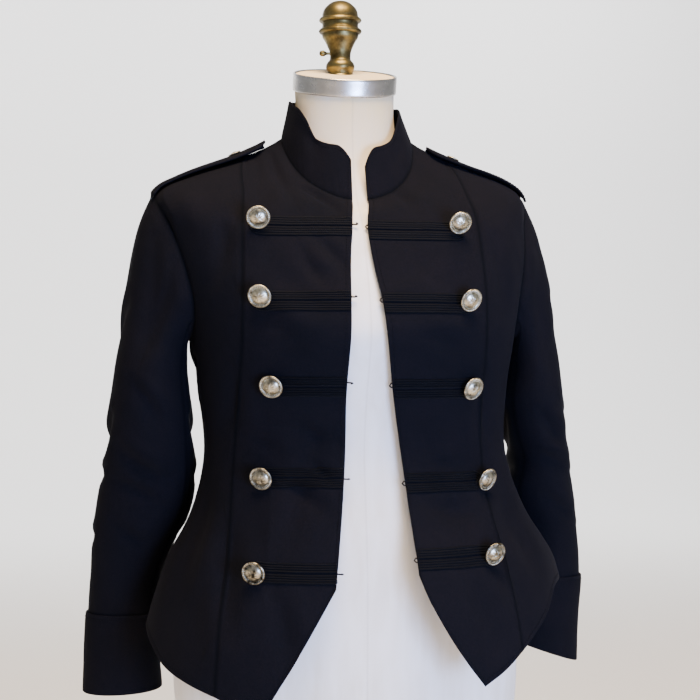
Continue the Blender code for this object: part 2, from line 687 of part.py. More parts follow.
def sleeve_grid(side):
    """Outer points of the whole sleeve, from the armhole down, and its outward directions."""
    front = [armhole_place(share, side, -1) for share in spread(0, 1, ROWS_ABOVE_ARMPIT)]
    back = [armhole_place(share, side, 1) for share in spread(1, 0, ROWS_ABOVE_ARMPIT)]
    pairs = [cloth_point(*place) for place in front + back[1:-1]]
    hole = np.array([pair[0] for pair in pairs])
    faces = np.array([pair[1] for pair in pairs])
    count = len(hole)
    turns = [2 * math.pi * number / count for number in range(count)]
    first = SLEEVE_RINGS[side][0].z
    ring = sleeve_ring(side, first, turns)
    rows = [hole]
    for number in range(1, HEAD_ROWS + 1):
        t = number / HEAD_ROWS
        row = []
        for corner in range(count):
            height = (1 - math.cos(turns[corner])) / 2
            outwards = np.array((side * (1.0 - 0.65 * height), 0.0, -0.15 - 0.75 * height))
            leave = unit(0.15 * faces[corner] + outwards) * (0.006 + 0.042 * height)
            drop = np.array((-side * 0.014 * height, 0, 0.010 + 0.080 * height))
            a, b, c, d = hole[corner], hole[corner] + leave, ring[corner] + drop, ring[corner]
            row.append((1 - t) ** 3 * a + 3 * (1 - t) ** 2 * t * b + 3 * (1 - t) * t ** 2 * c + t ** 3 * d)
        rows.append(np.array(row))
    for z in spread(first, CUFF_TOP[side], SLEEVE_ROWS - 1)[1:]:
        rows.append(sleeve_ring(side, z, turns))
    rows.append(sleeve_ring(side, cuff_height(side, CUFF_SHARES[1]), turns))
    grid = np.array(rows)
    return grid, tube_normals(grid)


def tube_normals(grid):
    """Outward directions of a tube that runs down its rows."""
    round_step = np.roll(grid, -1, axis=1) - np.roll(grid, 1, axis=1)
    down_step = np.gradient(grid, axis=0)
    normals = unit(np.cross(round_step, down_step))
    middle = grid.mean(axis=1, keepdims=True)
    if np.sum((grid - middle)[-1] * normals[-1]) < 0:
        normals = -normals
    return normals


def build_sleeve(side, cloth, collection):
    grid, normals = sleeve_grid(side)
    count = grid.shape[1]
    inner = grid - WALL * normals
    upper = list(range(SLEEVE_FRONT_SEAM, SLEEVE_BACK_SEAM + 1))
    under = list(range(SLEEVE_BACK_SEAM, count)) + list(range(0, SLEEVE_FRONT_SEAM + 1))
    for name, columns in (("upper_sleeve_", upper), ("under_sleeve_", under)):
        wall_object(name + side_name(side), draw_in(grid[:, columns], SEAM_GAP / 2),
                    draw_in(inner[:, columns], SEAM_GAP / 2), cloth, collection)
    build_cuff(side, cloth, collection, count)


def build_cuff(side, cloth, collection, count):
    """A band round the sleeve's end, a little lower on its outer side."""
    turns = [2 * math.pi * number / count for number in range(count)]
    rows = []
    for share in CUFF_SHARES:
        ring = sleeve_ring(side, cuff_height(side, share), turns)
        centre = ring.mean(axis=0)
        ring[:, :2] += unit(ring[:, :2] - centre[:2]) * (WALL + LAY_GAP + CUFF_FLARE * share)
        ring[:, 2] += share ** 2 * CUFF_SLANT[side] * np.cos(turns)
        rows.append(ring)
    outer = np.array(rows)
    inner = outer - WALL * tube_normals(outer)
    wall_object("cuff_" + side_name(side), outer, inner, cloth, collection, tube=True)


# Collar and epaulettes

def collar_top_point(angle, side):
    """The collar's upper edge at an angle."""
    angles = [row.angle for row in COLLAR_TOPS]
    heights = [row.right if side > 0 else row.left for row in COLLAR_TOPS]
    turn = math.radians(angle)
    y_end = COLLAR_TOP_FRONT_Y if math.cos(turn) > 0 else COLLAR_TOP_BACK_Y
    return np.array((COLLAR_TOP_HALF_WIDTH * math.sin(turn),
                     COLLAR_TOP_SIDE_Y + (y_end - COLLAR_TOP_SIDE_Y) * abs(math.cos(turn)),
                     float(np.interp(abs(angle), angles, heights))))


def build_collar(panels, cloth, collection):
    """The stand, from the neckline's own points up to its edge, with a rounded corner at each front."""
    base, angles = [], []
    for side in (-1, 1):
        front, back = panels[side]["front"].outer[-1], panels[side]["back"].outer[-1]
        points = list(front) + list(back[-2::-1])
        start = seam_angle(0, LEVEL["neck_base"], side)
        turned = spread(start, side * 90, len(front) - 1) + spread(side * 90, side * 180, BACK_COLUMNS)[1:]
        if side > 0:
            points, turned = points[::-1][1:], turned[::-1][1:]
        base += points
        angles += turned
    base = np.array(base)
    count = len(base)
    sides = [-1 if number < count / 2 else 1 for number in range(count)]
    tops = np.array([collar_top_point(angle, side) for angle, side in zip(angles, sides)])
    steps = np.linalg.norm(np.diff(base, axis=0), axis=1)
    reach = np.concatenate(([0], np.cumsum(steps)))
    rows = []
    for row in range(COLLAR_ROWS + 1):
        share = row / COLLAR_ROWS
        line = base + (tops - base) * share
        for number in range(count):
            side = sides[number]
            corner = COLLAR_CORNER[side]
            away = reach[number] if side < 0 else reach[-1] - reach[number]
            if away < corner:
                cut = 1 - math.sqrt(max(1 - (1 - away / corner) ** 2, 0))
                tall = np.linalg.norm(tops[number] - base[number])
                kept = 1 - cut * 0.85 * corner / tall
                line[number] = base[number] + (tops[number] - base[number]) * share * kept
        rows.append(line)
    outer = np.array(rows)
    outer[0] += unit(outer[1] - outer[0]) * SEAM_GAP
    across = np.gradient(outer, axis=1)
    upward = np.gradient(outer, axis=0)
    normals = unit(np.cross(across, upward))
    if normals[0, count // 2][1] < 0:
        normals = -normals
    wall_object("collar", outer, outer - COLLAR_WALL * normals, cloth, collection)


def cloth_place_at(x, y, angle, level):
    """Angle and level of the cloth above (x, y), from a place close to it."""
    place = np.array((angle, level), dtype=float)
    for _ in range(12):
        here = ring_point(place[0], place[1], True)[:2]
        round_slope = (ring_point(place[0] + 0.2, place[1], True)[:2] - here) / 0.2
        up_slope = (ring_point(place[0], place[1] + 0.01, True)[:2] - here) / 0.01
        miss = np.array((x, y)) - here
        step = np.linalg.solve(np.column_stack((round_slope, up_slope)), miss)
        place += np.clip(step, (-6, -0.3), (6, 0.3))
    return place


def strap_lift(share, side):
    """How far the strap stands off the shoulder seam along its length."""
    foot, end = STRAP_FOOT_LIFT[side], STRAP_END_LIFT[side]
    return foot + 0.0015 * math.sin(math.pi * share) + end * share ** 3


def strap_point(side, share, across):
    """A point under the strap: it bridges the shoulder seam and droops less than the cloth beside it."""
    level = STRAP_START + (STRAP_END - STRAP_START) * share
    ridge = cloth_point(side * 90, level)[0]
    widths = np.array(STRAP_HALF_WIDTHS)
    y = ridge[1] + across * float(np.interp(share, widths[:, 0], widths[:, 1]))
    place = cloth_place_at(ridge[0], y, side * 90, level)
    height = ring_point(place[0], place[1], True)[2]
    z = max(ridge[2] - 0.75 * (ridge[2] - height), height) + strap_lift(share, side)
    return np.array((ridge[0], y, z))


def build_epaulette(side, cloth, silver, collection):
    lower = np.array([[strap_point(side, share, across) for across in STRAP_ACROSS]
                      for share in STRAP_STEPS])
    along = np.gradient(lower, axis=0)
    across = np.gradient(lower, axis=1)
    normals = unit(np.cross(along, across))
    if normals[0, 2][2] < 0:
        normals = -normals
    wall_object("epaulette_" + side_name(side), lower + STRAP_THICKNESS * normals, lower, cloth, collection)
    shares = np.array(STRAP_STEPS)
    row = STRAP_BUTTON_SHARE
    middle = np.array([np.interp(row, shares, lower[:, 2, axis]) for axis in range(3)])
    facing = unit(np.array([np.interp(row, shares, normals[:, 2, axis]) for axis in range(3)]))
    base = middle + (STRAP_THICKNESS + LAY_GAP) * facing
    name = "epaulette_button_" + side_name(side)
    button_object(name, EPAULETTE_BUTTON_RADIUS, base, facing, silver, collection)


# Trim and fastenings

def turned_object(name, profile, segments, material, collection):
    """A closed turned body: a profile of (height, radius) from the top down, spun about Z."""
    mesh = bpy.data.meshes.new(name)
    points = [(radius, 0, height) for height, radius in profile]
    mesh.from_pydata(points, [(number, number + 1) for number in range(len(points) - 1)], [])
    body = bpy.data.objects.new(name, mesh)
    collection.objects.link(body)
    screw = body.modifiers.new("Turn", "SCREW")
    screw.steps = screw.render_steps = segments
    screw.use_merge_vertices = True
    screw.merge_threshold = 0.00001
    screw.use_smooth_shade = True
    mesh.materials.append(material)
    return body


def turned_to(point, normal):
    """Where a turned piece stands with its foot at a point and its axis along the normal."""
    return Matrix.Translation(Vector(point)) @ Vector(normal).to_track_quat("Z", "Y").to_matrix().to_4x4()


def button_object(name, radius, point, normal, silver, collection):
    scale = radius / BUTTON_RADIUS
    tall = BUTTON_PROFILE[-1][0]
    profile = [((tall - depth) * scale, share * radius) for depth, share in BUTTON_PROFILE]
    body = turned_object(name, profile, BUTTON_SEGMENTS, silver, collection)
    body.matrix_world = turned_to(point, normal)
    return body


def braid_lines(panel, place):
    """The two edges of the braid: in from the front edge, round under the button and back out."""
    half = BRAID_WIDTH / 2
    radius = half + BRAID_SLOT / 2
    side = place.side
    columns = panel.column_distances(place.braid_z)
    end = side * min(abs(place.x), abs(columns[-1]) - radius - half - 0.0015)
    stops = [x for x in columns if abs(x) < abs(end) - 0.004]
    start = stops[0] + side * 0.0012
    straight = [start] + stops[1:]
    path = [((x, radius), (0, 1)) for x in straight]
    for turn in np.linspace(90, -90, 9):
        angle = math.radians(turn)
        direction = (side * math.cos(angle), math.sin(angle))
        path.append(((end + direction[0] * radius, direction[1] * radius), direction))
    path += [((x, -radius), (0, -1)) for x in reversed(straight)]
    outer = [(x + direction[0] * half, z + direction[1] * half) for (x, z), direction in path]
    inner = [(x - direction[0] * half, z - direction[1] * half) for (x, z), direction in path]
    return outer, inner


def build_braid(panel, place, braid, collection):
    under, over = [], []
    for line in braid_lines(panel, place):
        spots = [panel.place_at(x, place.braid_z + dz) for x, dz in line]
        under.append([panel.lifted(*spot, BRAID_LIFT) for spot in spots])
        over.append([panel.lifted(*spot, BRAID_LIFT + BRAID_THICKNESS) for spot in spots])
    name = "braid_%s_%d" % (side_name(place.side), place.row)
    wall_object(name, np.array(over), np.array(under), braid, collection)


def build_button(panel, place, silver, collection):
    spot = panel.place_at(place.x, place.z)
    foot_dip = BUTTON_DROOP * BUTTON_RADIUS * BUTTON_PROFILE[-2][1]
    base = panel.lifted(*spot, BRAID_LIFT + BRAID_THICKNESS + LAY_GAP + foot_dip - place.sunk)
    facing = unit(panel.normal(*spot) - np.array((0, 0, BUTTON_DROOP)))
    button_object("button_%s_%d" % (side_name(place.side), place.row), BUTTON_RADIUS, base, facing,
                  silver, collection)


def wire_object(name, points, radius, material, collection):
    """A bent wire with filled ends."""
    curve = bpy.data.curves.new(name, "CURVE")
    curve.dimensions = "3D"
    curve.bevel_depth = radius
    curve.bevel_resolution = 1
    curve.use_fill_caps = True
    spline = curve.splines.new("POLY")
    spline.points.add(len(points) - 1)
    for target, point in zip(spline.points, points):
        target.co = (*point, 1)
    curve.materials.append(material)
    body = bpy.data.objects.new(name, curve)
    collection.objects.link(body)
    return body


def build_fastening(name, panel, z, shape, metal, collection):
    """A wire shape set on a front edge at a height."""
    edge = panel.outer[:, 0]
    row = float(np.interp(z, edge[:, 2], range(len(edge))))
    point, normal = panel.point(0, row), panel.normal(0, row)
    up = unit(panel.point(0, row + 0.2) - panel.point(0, row - 0.2))
    past = unit(np.cross(up, normal))
    if np.dot(past, panel.point(0.5, row) - point) > 0:
        past = -past
    sunk = WALL + LAY_GAP + HOOK_WIRE
    points = [point + past * out + up * along - normal * (sunk + deep) for out, along, deep in shape]
    wire_object(name, points, HOOK_WIRE, metal, collection)


# Dress form and stand

def form_ring(level, shrink=0.0):
    """One ring of the form's own points."""
    ring = []
    for number in range(FORM_COLUMNS):
        angle = 360 * number / FORM_COLUMNS
        angle = angle if angle <= 180 else angle - 360
        if abs(angle) < 1e-9:
            angle = 1e-6
        point = ring_point(angle, level, False)
        ring.append(point - shrink * outward(angle, level, False))
    return ring


def build_form(linen, board, collection):
    rings = [form_ring(level, FORM_SETBACK if LEVEL["thigh"] < level < LEVEL["neck"] else 0)
             for level in FORM_LEVELS]
    loft_object("form_torso", rings, linen, collection)
    lower = [np.array((p[0] * .965, p[1] * .965, FORM_RINGS[0].z_side - BOARD_THICKNESS - SEAM_GAP))
             for p in form_ring(0)]
    upper = [point + np.array((0, 0, BOARD_THICKNESS)) for point in lower]
    loft_object("form_board", [lower, upper], board, collection)


def tilted_about(centre):
    return Matrix.Translation(centre) @ Matrix.Rotation(NECK_TILT, 4, "X")


def build_neck(linen, steel, brass, collection, cutters):
    """The neck block and its metal band lean forwards, and the finial stands upright on the block."""
    foot = tilted_about(NECK_CENTRE)
    block_radius = NECK_RADIUS - .0006
    block = turned_object("neck_block", (
        (NECK_BLOCK_HEIGHT, 0), (NECK_BLOCK_HEIGHT, block_radius - .0009),
        (NECK_BLOCK_HEIGHT - .001, block_radius), (SEAM_GAP, block_radius), (SEAM_GAP, 0)),
        NECK_SEGMENTS, linen, collection)
    block.matrix_world = foot
    inside = NECK_RADIUS + SEAM_GAP
    outside = inside + BAND_WALL
    low, high, round_off = SEAM_GAP, SEAM_GAP + BAND_HEIGHT, .0005
    band = turned_object("neck_band", (
        (high, inside), (high, outside - round_off), (high - round_off, outside),
        (low + round_off, outside), (low, outside - round_off), (low, inside), (high, inside)),
        NECK_SEGMENTS, steel, collection)
    band.matrix_world = foot

    finial = turned_object("finial", [(FINIAL_TOP - depth, radius) for depth, radius in FINIAL_PROFILE],
                           16, brass, collection)
    finial.location = (FINIAL_X, FINIAL_Y, 0)
    cutter_mesh = bpy.data.meshes.new("neck_block_space")
    box = bmesh.new()
    bmesh.ops.create_cube(box, size=0.2)
    bmesh.ops.translate(box, verts=box.verts, vec=(0, 0, NECK_BLOCK_HEIGHT + SEAM_GAP - 0.1))
    box.to_mesh(cutter_mesh)
    box.free()
    cutter = bpy.data.objects.new("neck_block_space", cutter_mesh)
    cutter.matrix_world = foot
    cutter.hide_render = True
    cutter.display_type = "WIRE"
    cutters.objects.link(cutter)
    cut = finial.modifiers.new("Foot", "BOOLEAN")
    cut.operation = "DIFFERENCE"
    cut.object = cutter

    screw_z = FINIAL_TOP - .0640
    screw = turned_object("thumb_screw", (
        (.0150, 0), (.0145, .0016), (.0130, .0030), (.0110, .0034), (.0090, .0028), (.0076, .0016),
        (.0000, .0016), (.0000, 0)), 12, brass, collection)
    start = (FINIAL_X - .0118 - SEAM_GAP - .0003, FINIAL_Y, screw_z)
    screw.matrix_world = turned_to(start, (-1, 0, 0))


def build_stand(black, collection):
    turned_object("stand_base", (
        (STAND_THICKNESS, 0), (STAND_THICKNESS, STAND_RADIUS - .012),
        (STAND_THICKNESS * .8, STAND_RADIUS - .004), (STAND_THICKNESS * .45, STAND_RADIUS),
        (.0010, STAND_RADIUS), (0, STAND_RADIUS - .001), (0, 0)),
        36, black, collection)
    top = FORM_RINGS[0].z_side - BOARD_THICKNESS - 2 * SEAM_GAP
    low = STAND_THICKNESS + SEAM_GAP
    turned_object("stand_pole", (
        (top, 0), (top, .045), (top - .005, .046), (top - .012, POLE_RADIUS + .003),
        (top - .014, POLE_RADIUS), (low + .016, POLE_RADIUS), (low + .012, POLE_RADIUS + .006),
        (low, POLE_RADIUS + .014), (low, 0)),
        20, black, collection)


def principled(spec):
    name, colour, roughness, metallic = spec
    material = bpy.data.materials.new(name)
    material.use_nodes = True
    shader = material.node_tree.nodes["Principled BSDF"]
    shader.inputs["Base Color"].default_value = (*colour, 1)
    shader.inputs["Roughness"].default_value = roughness
    shader.inputs["Metallic"].default_value = metallic
    return material


def main():
    for old in list(bpy.data.objects):
        bpy.data.objects.remove(old, do_unlink=True)
    scene = bpy.context.scene
    collection = bpy.data.collections.new("jacket_on_dress_form")
    cutters = bpy.data.collections.new("cutters")
    scene.collection.children.link(collection)
    scene.collection.children.link(cutters)

    cloth, braid, linen, silver = (principled(spec) for spec in (CLOTH, BRAID, LINEN, SILVER))
    steel, brass, black, board = (principled(spec) for spec in (STEEL, BRASS, BLACK_METAL, BOARD))

    panels = {side: body_panels(side) for side in (-1, 1)}
    for side in (-1, 1):
        for panel in panels[side].values():
            panel.build(cloth, collection)
        build_sleeve(side, cloth, collection)
        build_epaulette(side, cloth, silver, collection)
    build_collar(panels, cloth, collection)
    for place in BUTTON_PLACES:
        front = panels[place.side]["front"]
        build_braid(front, place, braid, collection)
        build_button(front, place, silver, collection)
        name, shape = ("hook_%d", HOOK_SHAPE) if place.side < 0 else ("eye_%d", EYE_SHAPE)
        build_fastening(name % place.row, front, place.z, shape, black, collection)
    build_form(linen, board, collection)
    build_neck(linen, steel, brass, collection, cutters)
    build_stand(black, collection)
    bpy.context.view_layer.update()


if __name__ == "__main__":
    main()
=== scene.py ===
"""Looks of a military-style jacket, worn open by a limbless dress form.

Metres, +Z up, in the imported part's own frame: the front faces -Y and "right" is the viewer's right.

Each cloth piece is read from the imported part. The outer face of its wall is a grid of points, which is made
finer on smooth curves through the same points, creased, drawn in at its seams and given its wall again.
"""

import math
from collections import namedtuple

import bmesh
import bpy
import numpy as np
from bpy.props import FloatProperty, FloatVectorProperty, IntProperty, PointerProperty
from mathutils import Matrix, Vector, noise
from mathutils.bvhtree import BVHTree


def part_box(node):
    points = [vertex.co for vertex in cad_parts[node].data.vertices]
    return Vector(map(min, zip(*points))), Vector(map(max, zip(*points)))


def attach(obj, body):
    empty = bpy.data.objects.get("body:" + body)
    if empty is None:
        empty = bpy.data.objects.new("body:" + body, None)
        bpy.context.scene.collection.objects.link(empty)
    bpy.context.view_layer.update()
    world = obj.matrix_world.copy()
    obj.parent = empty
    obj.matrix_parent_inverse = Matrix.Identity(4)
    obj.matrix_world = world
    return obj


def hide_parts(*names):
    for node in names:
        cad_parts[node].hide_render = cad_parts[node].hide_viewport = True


bl_info = {
    "name": "Military-style Jacket on a Dress Form",
    "version": (1, 0, 0),
    "blender": (4, 5, 0),
    "location": "View3D > Sidebar > Jacket",
    "description": "Dresses the packed jacket and dress form in cloth, braid, metal and linen",
    "category": "Object",
}

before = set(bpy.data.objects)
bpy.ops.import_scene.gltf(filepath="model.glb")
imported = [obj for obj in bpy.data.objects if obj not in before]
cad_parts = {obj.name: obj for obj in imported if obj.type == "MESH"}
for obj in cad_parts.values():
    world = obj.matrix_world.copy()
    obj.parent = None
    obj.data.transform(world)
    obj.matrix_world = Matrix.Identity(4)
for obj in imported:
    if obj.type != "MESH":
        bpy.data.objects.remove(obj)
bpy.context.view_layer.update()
BODY = "root"

SIDES = ("left", "right")
ROWS = (1, 2, 3, 4, 5)
BODY_PANELS = ("front", "side_front", "side_back", "back")


def linear(hex_colour):
    """An sRGB hex colour as linear red, green and blue."""
    channels = [int(hex_colour[start:start + 2], 16) / 255 for start in (1, 3, 5)]
    return tuple(c / 12.92 if c <= 0.04045 else ((c + 0.055) / 1.055) ** 2.4 for c in channels)


def colour(name, hex_colour, description):
    return FloatVectorProperty(name=name, description=description, subtype="COLOR", size=3, min=0, max=1,
                               default=linear(hex_colour))


def length(name, metres, description):
    return FloatProperty(name=name, description=description, default=metres, unit="LENGTH",
                         subtype="DISTANCE", min=0, precision=5)


# Settings

class JacketClothSettings(bpy.types.PropertyGroup):
    """Wool cloth of the body, sleeves, collar, cuffs and shoulder straps"""
    wool: colour("Wool", "#070A11", "Black-navy wool where the nap lies flat")
    wool_raised: colour("Raised nap", "#121117", "Wool where the nap stands up and catches light")
    wool_sheen: colour("Nap sheen", "#7C86A8", "Tint of the light that the fibre ends scatter")
    wall: length("Cloth thickness", 0.002, "Thickness of one layer of the coat-weight wool")
    collar_wall: length("Collar thickness", 0.0026, "Thickness of the interlined collar stand")
    strap_wall: length("Strap thickness", 0.0028, "Thickness of a doubled shoulder strap")
    seam_depth: length("Seam depth", 0.0006, "How far the cloth dips into a seam")
    crease_strength: FloatProperty(name="Crease strength", description="Share of each crease's own depth",
                                   subtype="FACTOR", default=1.7, min=0, max=3)
    thread: colour("Thread", "#06070B", "Topstitching thread")
    stitch_pitch: length("Stitch pitch", 0.0036, "Distance from one topstitch to the next")


class JacketTrimSettings(bpy.types.PropertyGroup):
    """Braid, buttons and fastenings"""
    braid: colour("Braid", "#05070C", "Flat black mohair braid")
    # Painted highlight: the colour given to the crowns of the cords.
    braid_light: colour("Braid highlight", "#090B12", "Crown of the braid's cords")
    braid_thickness: length("Braid thickness", 0.0012, "Height of the braid's cords above the cloth")
    cords: IntProperty(name="Cords", description="Cords side by side in one width of braid", default=4, min=1)
    silver: colour("Silver", "#D2CBB2", "Silver plate on the raised parts of a button")
    # Also painted shade: the lower buttons take this colour in part.
    tarnish: colour("Tarnish", "#2B261A", "Darkened silver in the hollows of a button")
    strands: IntProperty(name="Rope strands", description="Twisted strands in a button's rope rim",
                         default=34, min=8)
    beads: IntProperty(name="Beads", description="Beads in the ring inside the rope rim", default=30, min=8)
    hook_metal: colour("Hook metal", "#17171A", "Japanned hooks and eyes")


class JacketFormSettings(bpy.types.PropertyGroup):
    """Dress form, finial and stand"""
    # Painted warm light: the form's linen turns from the first colour below to the second towards the neck.
    linen: colour("Linen", "#F8F9FB", "Linen cover of the form, below the painted warm light at the neck")
    linen_neck: colour("Linen at the neck", "#EDD8AC", "Painted warm light on the linen at the neck")
    linen_shade: colour("Linen shade", "#DFDBD2", "Slubs and soiling in the linen")
    brass: colour("Brass", "#85784C", "Aged turned brass where it is rubbed")
    brass_dark: colour("Brass patina", "#3F3720", "Brown patina in the hollows of the brass")
    steel: colour("Steel", "#E9E8E5", "Rolled steel band")
    enamel: colour("Enamel", "#1A1A1C", "Black stove enamel of the stand")
    board: colour("Board", "#A98458", "Plain sawn board under the form")


class JacketStageSettings(bpy.types.PropertyGroup):
    """Floor, light and camera"""
    paper: colour("Paper", "#F0F0F0", "Pale seamless paper")
    key_power: FloatProperty(name="Key light", description="Overhead light", unit="POWER", default=118, min=0)
    fill_power: FloatProperty(name="Fill light", description="Light from low in front", unit="POWER",
                              default=82, min=0)
    paper_power: FloatProperty(name="Paper lights", description="Each of the two lights on the background",
                               unit="POWER", default=120, min=0)
    camera_turn: FloatProperty(name="Camera turn", description="Turn to the left of straight ahead",
                               subtype="ANGLE", default=math.radians(10))
    camera_distance: length("Camera distance", 1.9, "Distance from the camera to the form's middle")
    camera_height: length("Camera height", 0.593, "Height of the camera, level with the ribs")
    view_width: length("View width", 0.791, "Width of the picture at the form's middle")


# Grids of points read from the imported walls

MERGE_DISTANCE = 1e-6
SHEET_TURNS = tuple(math.radians(turn) for turn in (45, 50, 55, 60, 64, 67, 70))


def away_from_axis(point):
    """Outwards from the upright middle of the body."""
    return Vector((point.x, point.y, 0))


def upwards(point):
    return Vector((0, 0, 1))


def away_from_middle(node):
    """Outwards from the upright middle of a node's own box."""
    low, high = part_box(node)
    middle = (low + high) / 2
    return lambda point: Vector((point.x - middle.x, point.y - middle.y, 0))


def wall_regions(work, turn):
    """The regions of a wall's faces that bend by less than a turn: two broad faces, then the rim."""
    seen, regions = set(), []
    for first in work.faces:
        if first in seen:
            continue
        seen.add(first)
        region, queue = [], [first]
        while queue:
            face = queue.pop()
            region.append(face)
            for edge in face.edges:
                if edge.calc_face_angle() > turn:
                    continue
                for other in edge.link_faces:
                    if other not in seen:
                        seen.add(other)
                        queue.append(other)
        regions.append(region)
    return sorted(regions, key=lambda faces: sum(face.calc_area() for face in faces), reverse=True)


def triangle_links(faces):
    """For each edge the third corners of its triangles, and how many edges meet at each vertex."""
    thirds, links = {}, {}
    for face in faces:
        corners = [vertex.index for vertex in face.verts]
        for number in range(3):
            pair = tuple(sorted((corners[number], corners[number - 1])))
            thirds.setdefault(pair, []).append(corners[number - 2])
    for pair in thirds:
        for vertex in pair:
            links[vertex] = links.get(vertex, 0) + 1
    return thirds, links


def first_row(thirds, links):
    """One edge of a sheet, from a corner that a diagonal reaches to one that none does, or one end of a
    tube. Also says whether it is a tube."""
    rims = {}
    for (a, b), found in thirds.items():
        if len(found) == 1:
            rims.setdefault(a, []).append(b)
            rims.setdefault(b, []).append(a)
    corners = sorted(v for v in rims if links[v] == 3)
    is_tube = not corners
    start = min(rims) if is_tube else corners[0]
    stops = {start} if is_tube else {v for v in rims if links[v] == 2}
    row = [start, rims[start][0]]
    while row[-1] not in stops and len(row) <= len(rims):
        row.append(next(v for v in rims[row[-1]] if v != row[-2]))
    return (row[:-1] if is_tube else row), is_tube


def grow_rows(row, thirds, is_tube, places):
    """Adds row after row beyond the first, each from the triangles that stand on the one before."""
    rows = [row]
    while True:
        before = set(rows[-2]) if len(rows) > 1 else set()
        pairs = list(zip(row, row[1:] + row[:1])) if is_tube else list(zip(row, row[1:]))
        above = []
        for pair in pairs:
            above += [v for v in thirds.get(tuple(sorted(pair)), []) if v not in before][:1]
        if len(above) < len(pairs):
            return rows
        if is_tube:
            to_first = sum((places[top] - places[a]).length for top, (a, b) in zip(above, pairs))
            to_second = sum((places[top] - places[b]).length for top, (a, b) in zip(above, pairs))
            row = above[-1:] + above[:-1] if to_second < to_first else above
        else:
            corner = [v for v in thirds.get(tuple(sorted((row[0], above[0]))), []) if v != row[1]]
            if not corner:
                return rows
            row = corner + above
        rows.append(row)


def merged(mesh):
    """A working copy of a mesh, in which points that meet are one."""
    work = bmesh.new()
    work.from_mesh(mesh)
    bmesh.ops.remove_doubles(work, verts=work.verts, dist=MERGE_DISTANCE)
    return work


def wall_grid(node, outward):
    """A CAD wall's outer points as rows that go up and columns that go round, and whether it is a tube."""
    work = merged(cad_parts[node].data)
    work.verts.index_update()
    places = [vertex.co.copy() for vertex in work.verts]

    def facing(faces):
        return sum(face.calc_area() * face.normal.dot(outward(face.calc_center_median())) for face in faces)

    grid = None
    for turn in SHEET_TURNS:
        faces = max(wall_regions(work, turn)[:2], key=facing)
        thirds, links = triangle_links(faces)
        row, is_tube = first_row(thirds, links)
        rows = grow_rows(row, thirds, is_tube, places)
        steps = len(row) if is_tube else len(row) - 1
        if (len(rows) - 1) * steps * 2 == len(faces):
            grid = np.array([[places[v] for v in row] for row in rows])
            break
    work.free()
    if grid is None:
        raise RuntimeError("%s is not a regular grid" % node)
    if not is_tube and abs(grid[-1, 0, 2] - grid[0, 0, 2]) < abs(grid[0, -1, 2] - grid[0, 0, 2]):
        grid = grid.transpose(1, 0, 2)
    if grid[0, :, 2].mean() > grid[-1, :, 2].mean():
        grid = grid[::-1]
    row, column = min(grid.shape[0] // 2, grid.shape[0] - 2), grid.shape[1] // 2
    across = grid[row, column] - grid[row, column - 1]
    upward = grid[row + 1, column] - grid[row, column]
    if Vector(np.cross(across, upward)).dot(outward(Vector(grid[row, column]))) < 0:
        grid = grid[:, ::-1]
    return grid, is_tube


# Finer grids

CORNER_TURN = (math.radians(35), math.radians(60))
LONG_RUN = 2.5
EDGE_PLACES = (.02, .06, .12, .30, .37, .44)


def unit(vectors):
    return vectors / np.maximum(np.linalg.norm(vectors, axis=-1, keepdims=True), 1e-12)


def even_stations(intervals, steps, close_ends=True):
    """Places along a run of intervals, with a few more close to both ends for the edges there."""
    places = np.arange(intervals * steps + 1) / steps
    if close_ends:
        near = np.array(EDGE_PLACES)
        places = np.concatenate((places, near, intervals - near))
    return np.unique(np.round(places, 6))


def finer(points, stations):
    """Points at the stations along the first axis, on smooth curves through the given ones.

    Where the given points turn sharply, the curve keeps its corner."""
    steps = np.maximum(np.linalg.norm(np.diff(points, axis=0), axis=-1, keepdims=True), 1e-9)
    slopes = np.diff(points, axis=0) / steps
    middle = (slopes[:-1] * steps[1:] + slopes[1:] * steps[:-1]) / (steps[:-1] + steps[1:])
    cosine = np.clip(np.sum(slopes[:-1] * slopes[1:], axis=-1, keepdims=True), -1, 1)
    low_turn, high_turn = CORNER_TURN
    sharp = np.clip((np.arccos(cosine) - low_turn) / (high_turn - low_turn), 0, 1)
    leaving, arriving = np.empty_like(points), np.empty_like(points)
    leaving[1:-1] = middle * (1 - sharp) + slopes[1:] * sharp
    arriving[1:-1] = middle * (1 - sharp) + slopes[:-1] * sharp
    first_share = 0.5 * np.minimum(1, LONG_RUN * steps[1] / steps[0])
    last_share = 0.5 * np.minimum(1, LONG_RUN * steps[-2] / steps[-1])
    leaving[0] = slopes[0] + first_share * (slopes[0] - arriving[1])
    arriving[-1] = slopes[-1] + last_share * (slopes[-1] - leaving[-2])
    reach_out, reach_in = steps.copy(), steps.copy()
    reach_out[1:] = np.minimum(steps[1:], LONG_RUN * steps[:-1])
    reach_in[:-1] = np.minimum(steps[:-1], LONG_RUN * steps[1:])
    low = np.minimum(stations.astype(int), len(points) - 2)
    t = (stations - low).reshape((-1,) + (1,) * (points.ndim - 1))
    start, end = points[low], points[low + 1]
    return ((2 * t ** 3 - 3 * t ** 2 + 1) * start + (t ** 3 - 2 * t ** 2 + t) * reach_out[low] * leaving[low]
            + (3 * t ** 2 - 2 * t ** 3) * end + (t ** 3 - t ** 2) * reach_in[low] * arriving[low + 1])


def finer_grid(grid, is_tube, steps, close_ends=True):
    """The grid with steps points for each of its own, and more along its edges. A tube runs on past its
    join, so that it is smooth there."""
    turned = finer(grid, even_stations(len(grid) - 1, steps, close_ends)).transpose(1, 0, 2)
    if is_tube:
        stations = even_stations(len(turned), steps, close_ends=False)[:-1] + 3
        turned = np.concatenate((turned[-3:], turned, turned[:4]))
    else:
        stations = even_stations(len(turned) - 1, steps, close_ends)
    return finer(turned, stations).transpose(1, 0, 2)


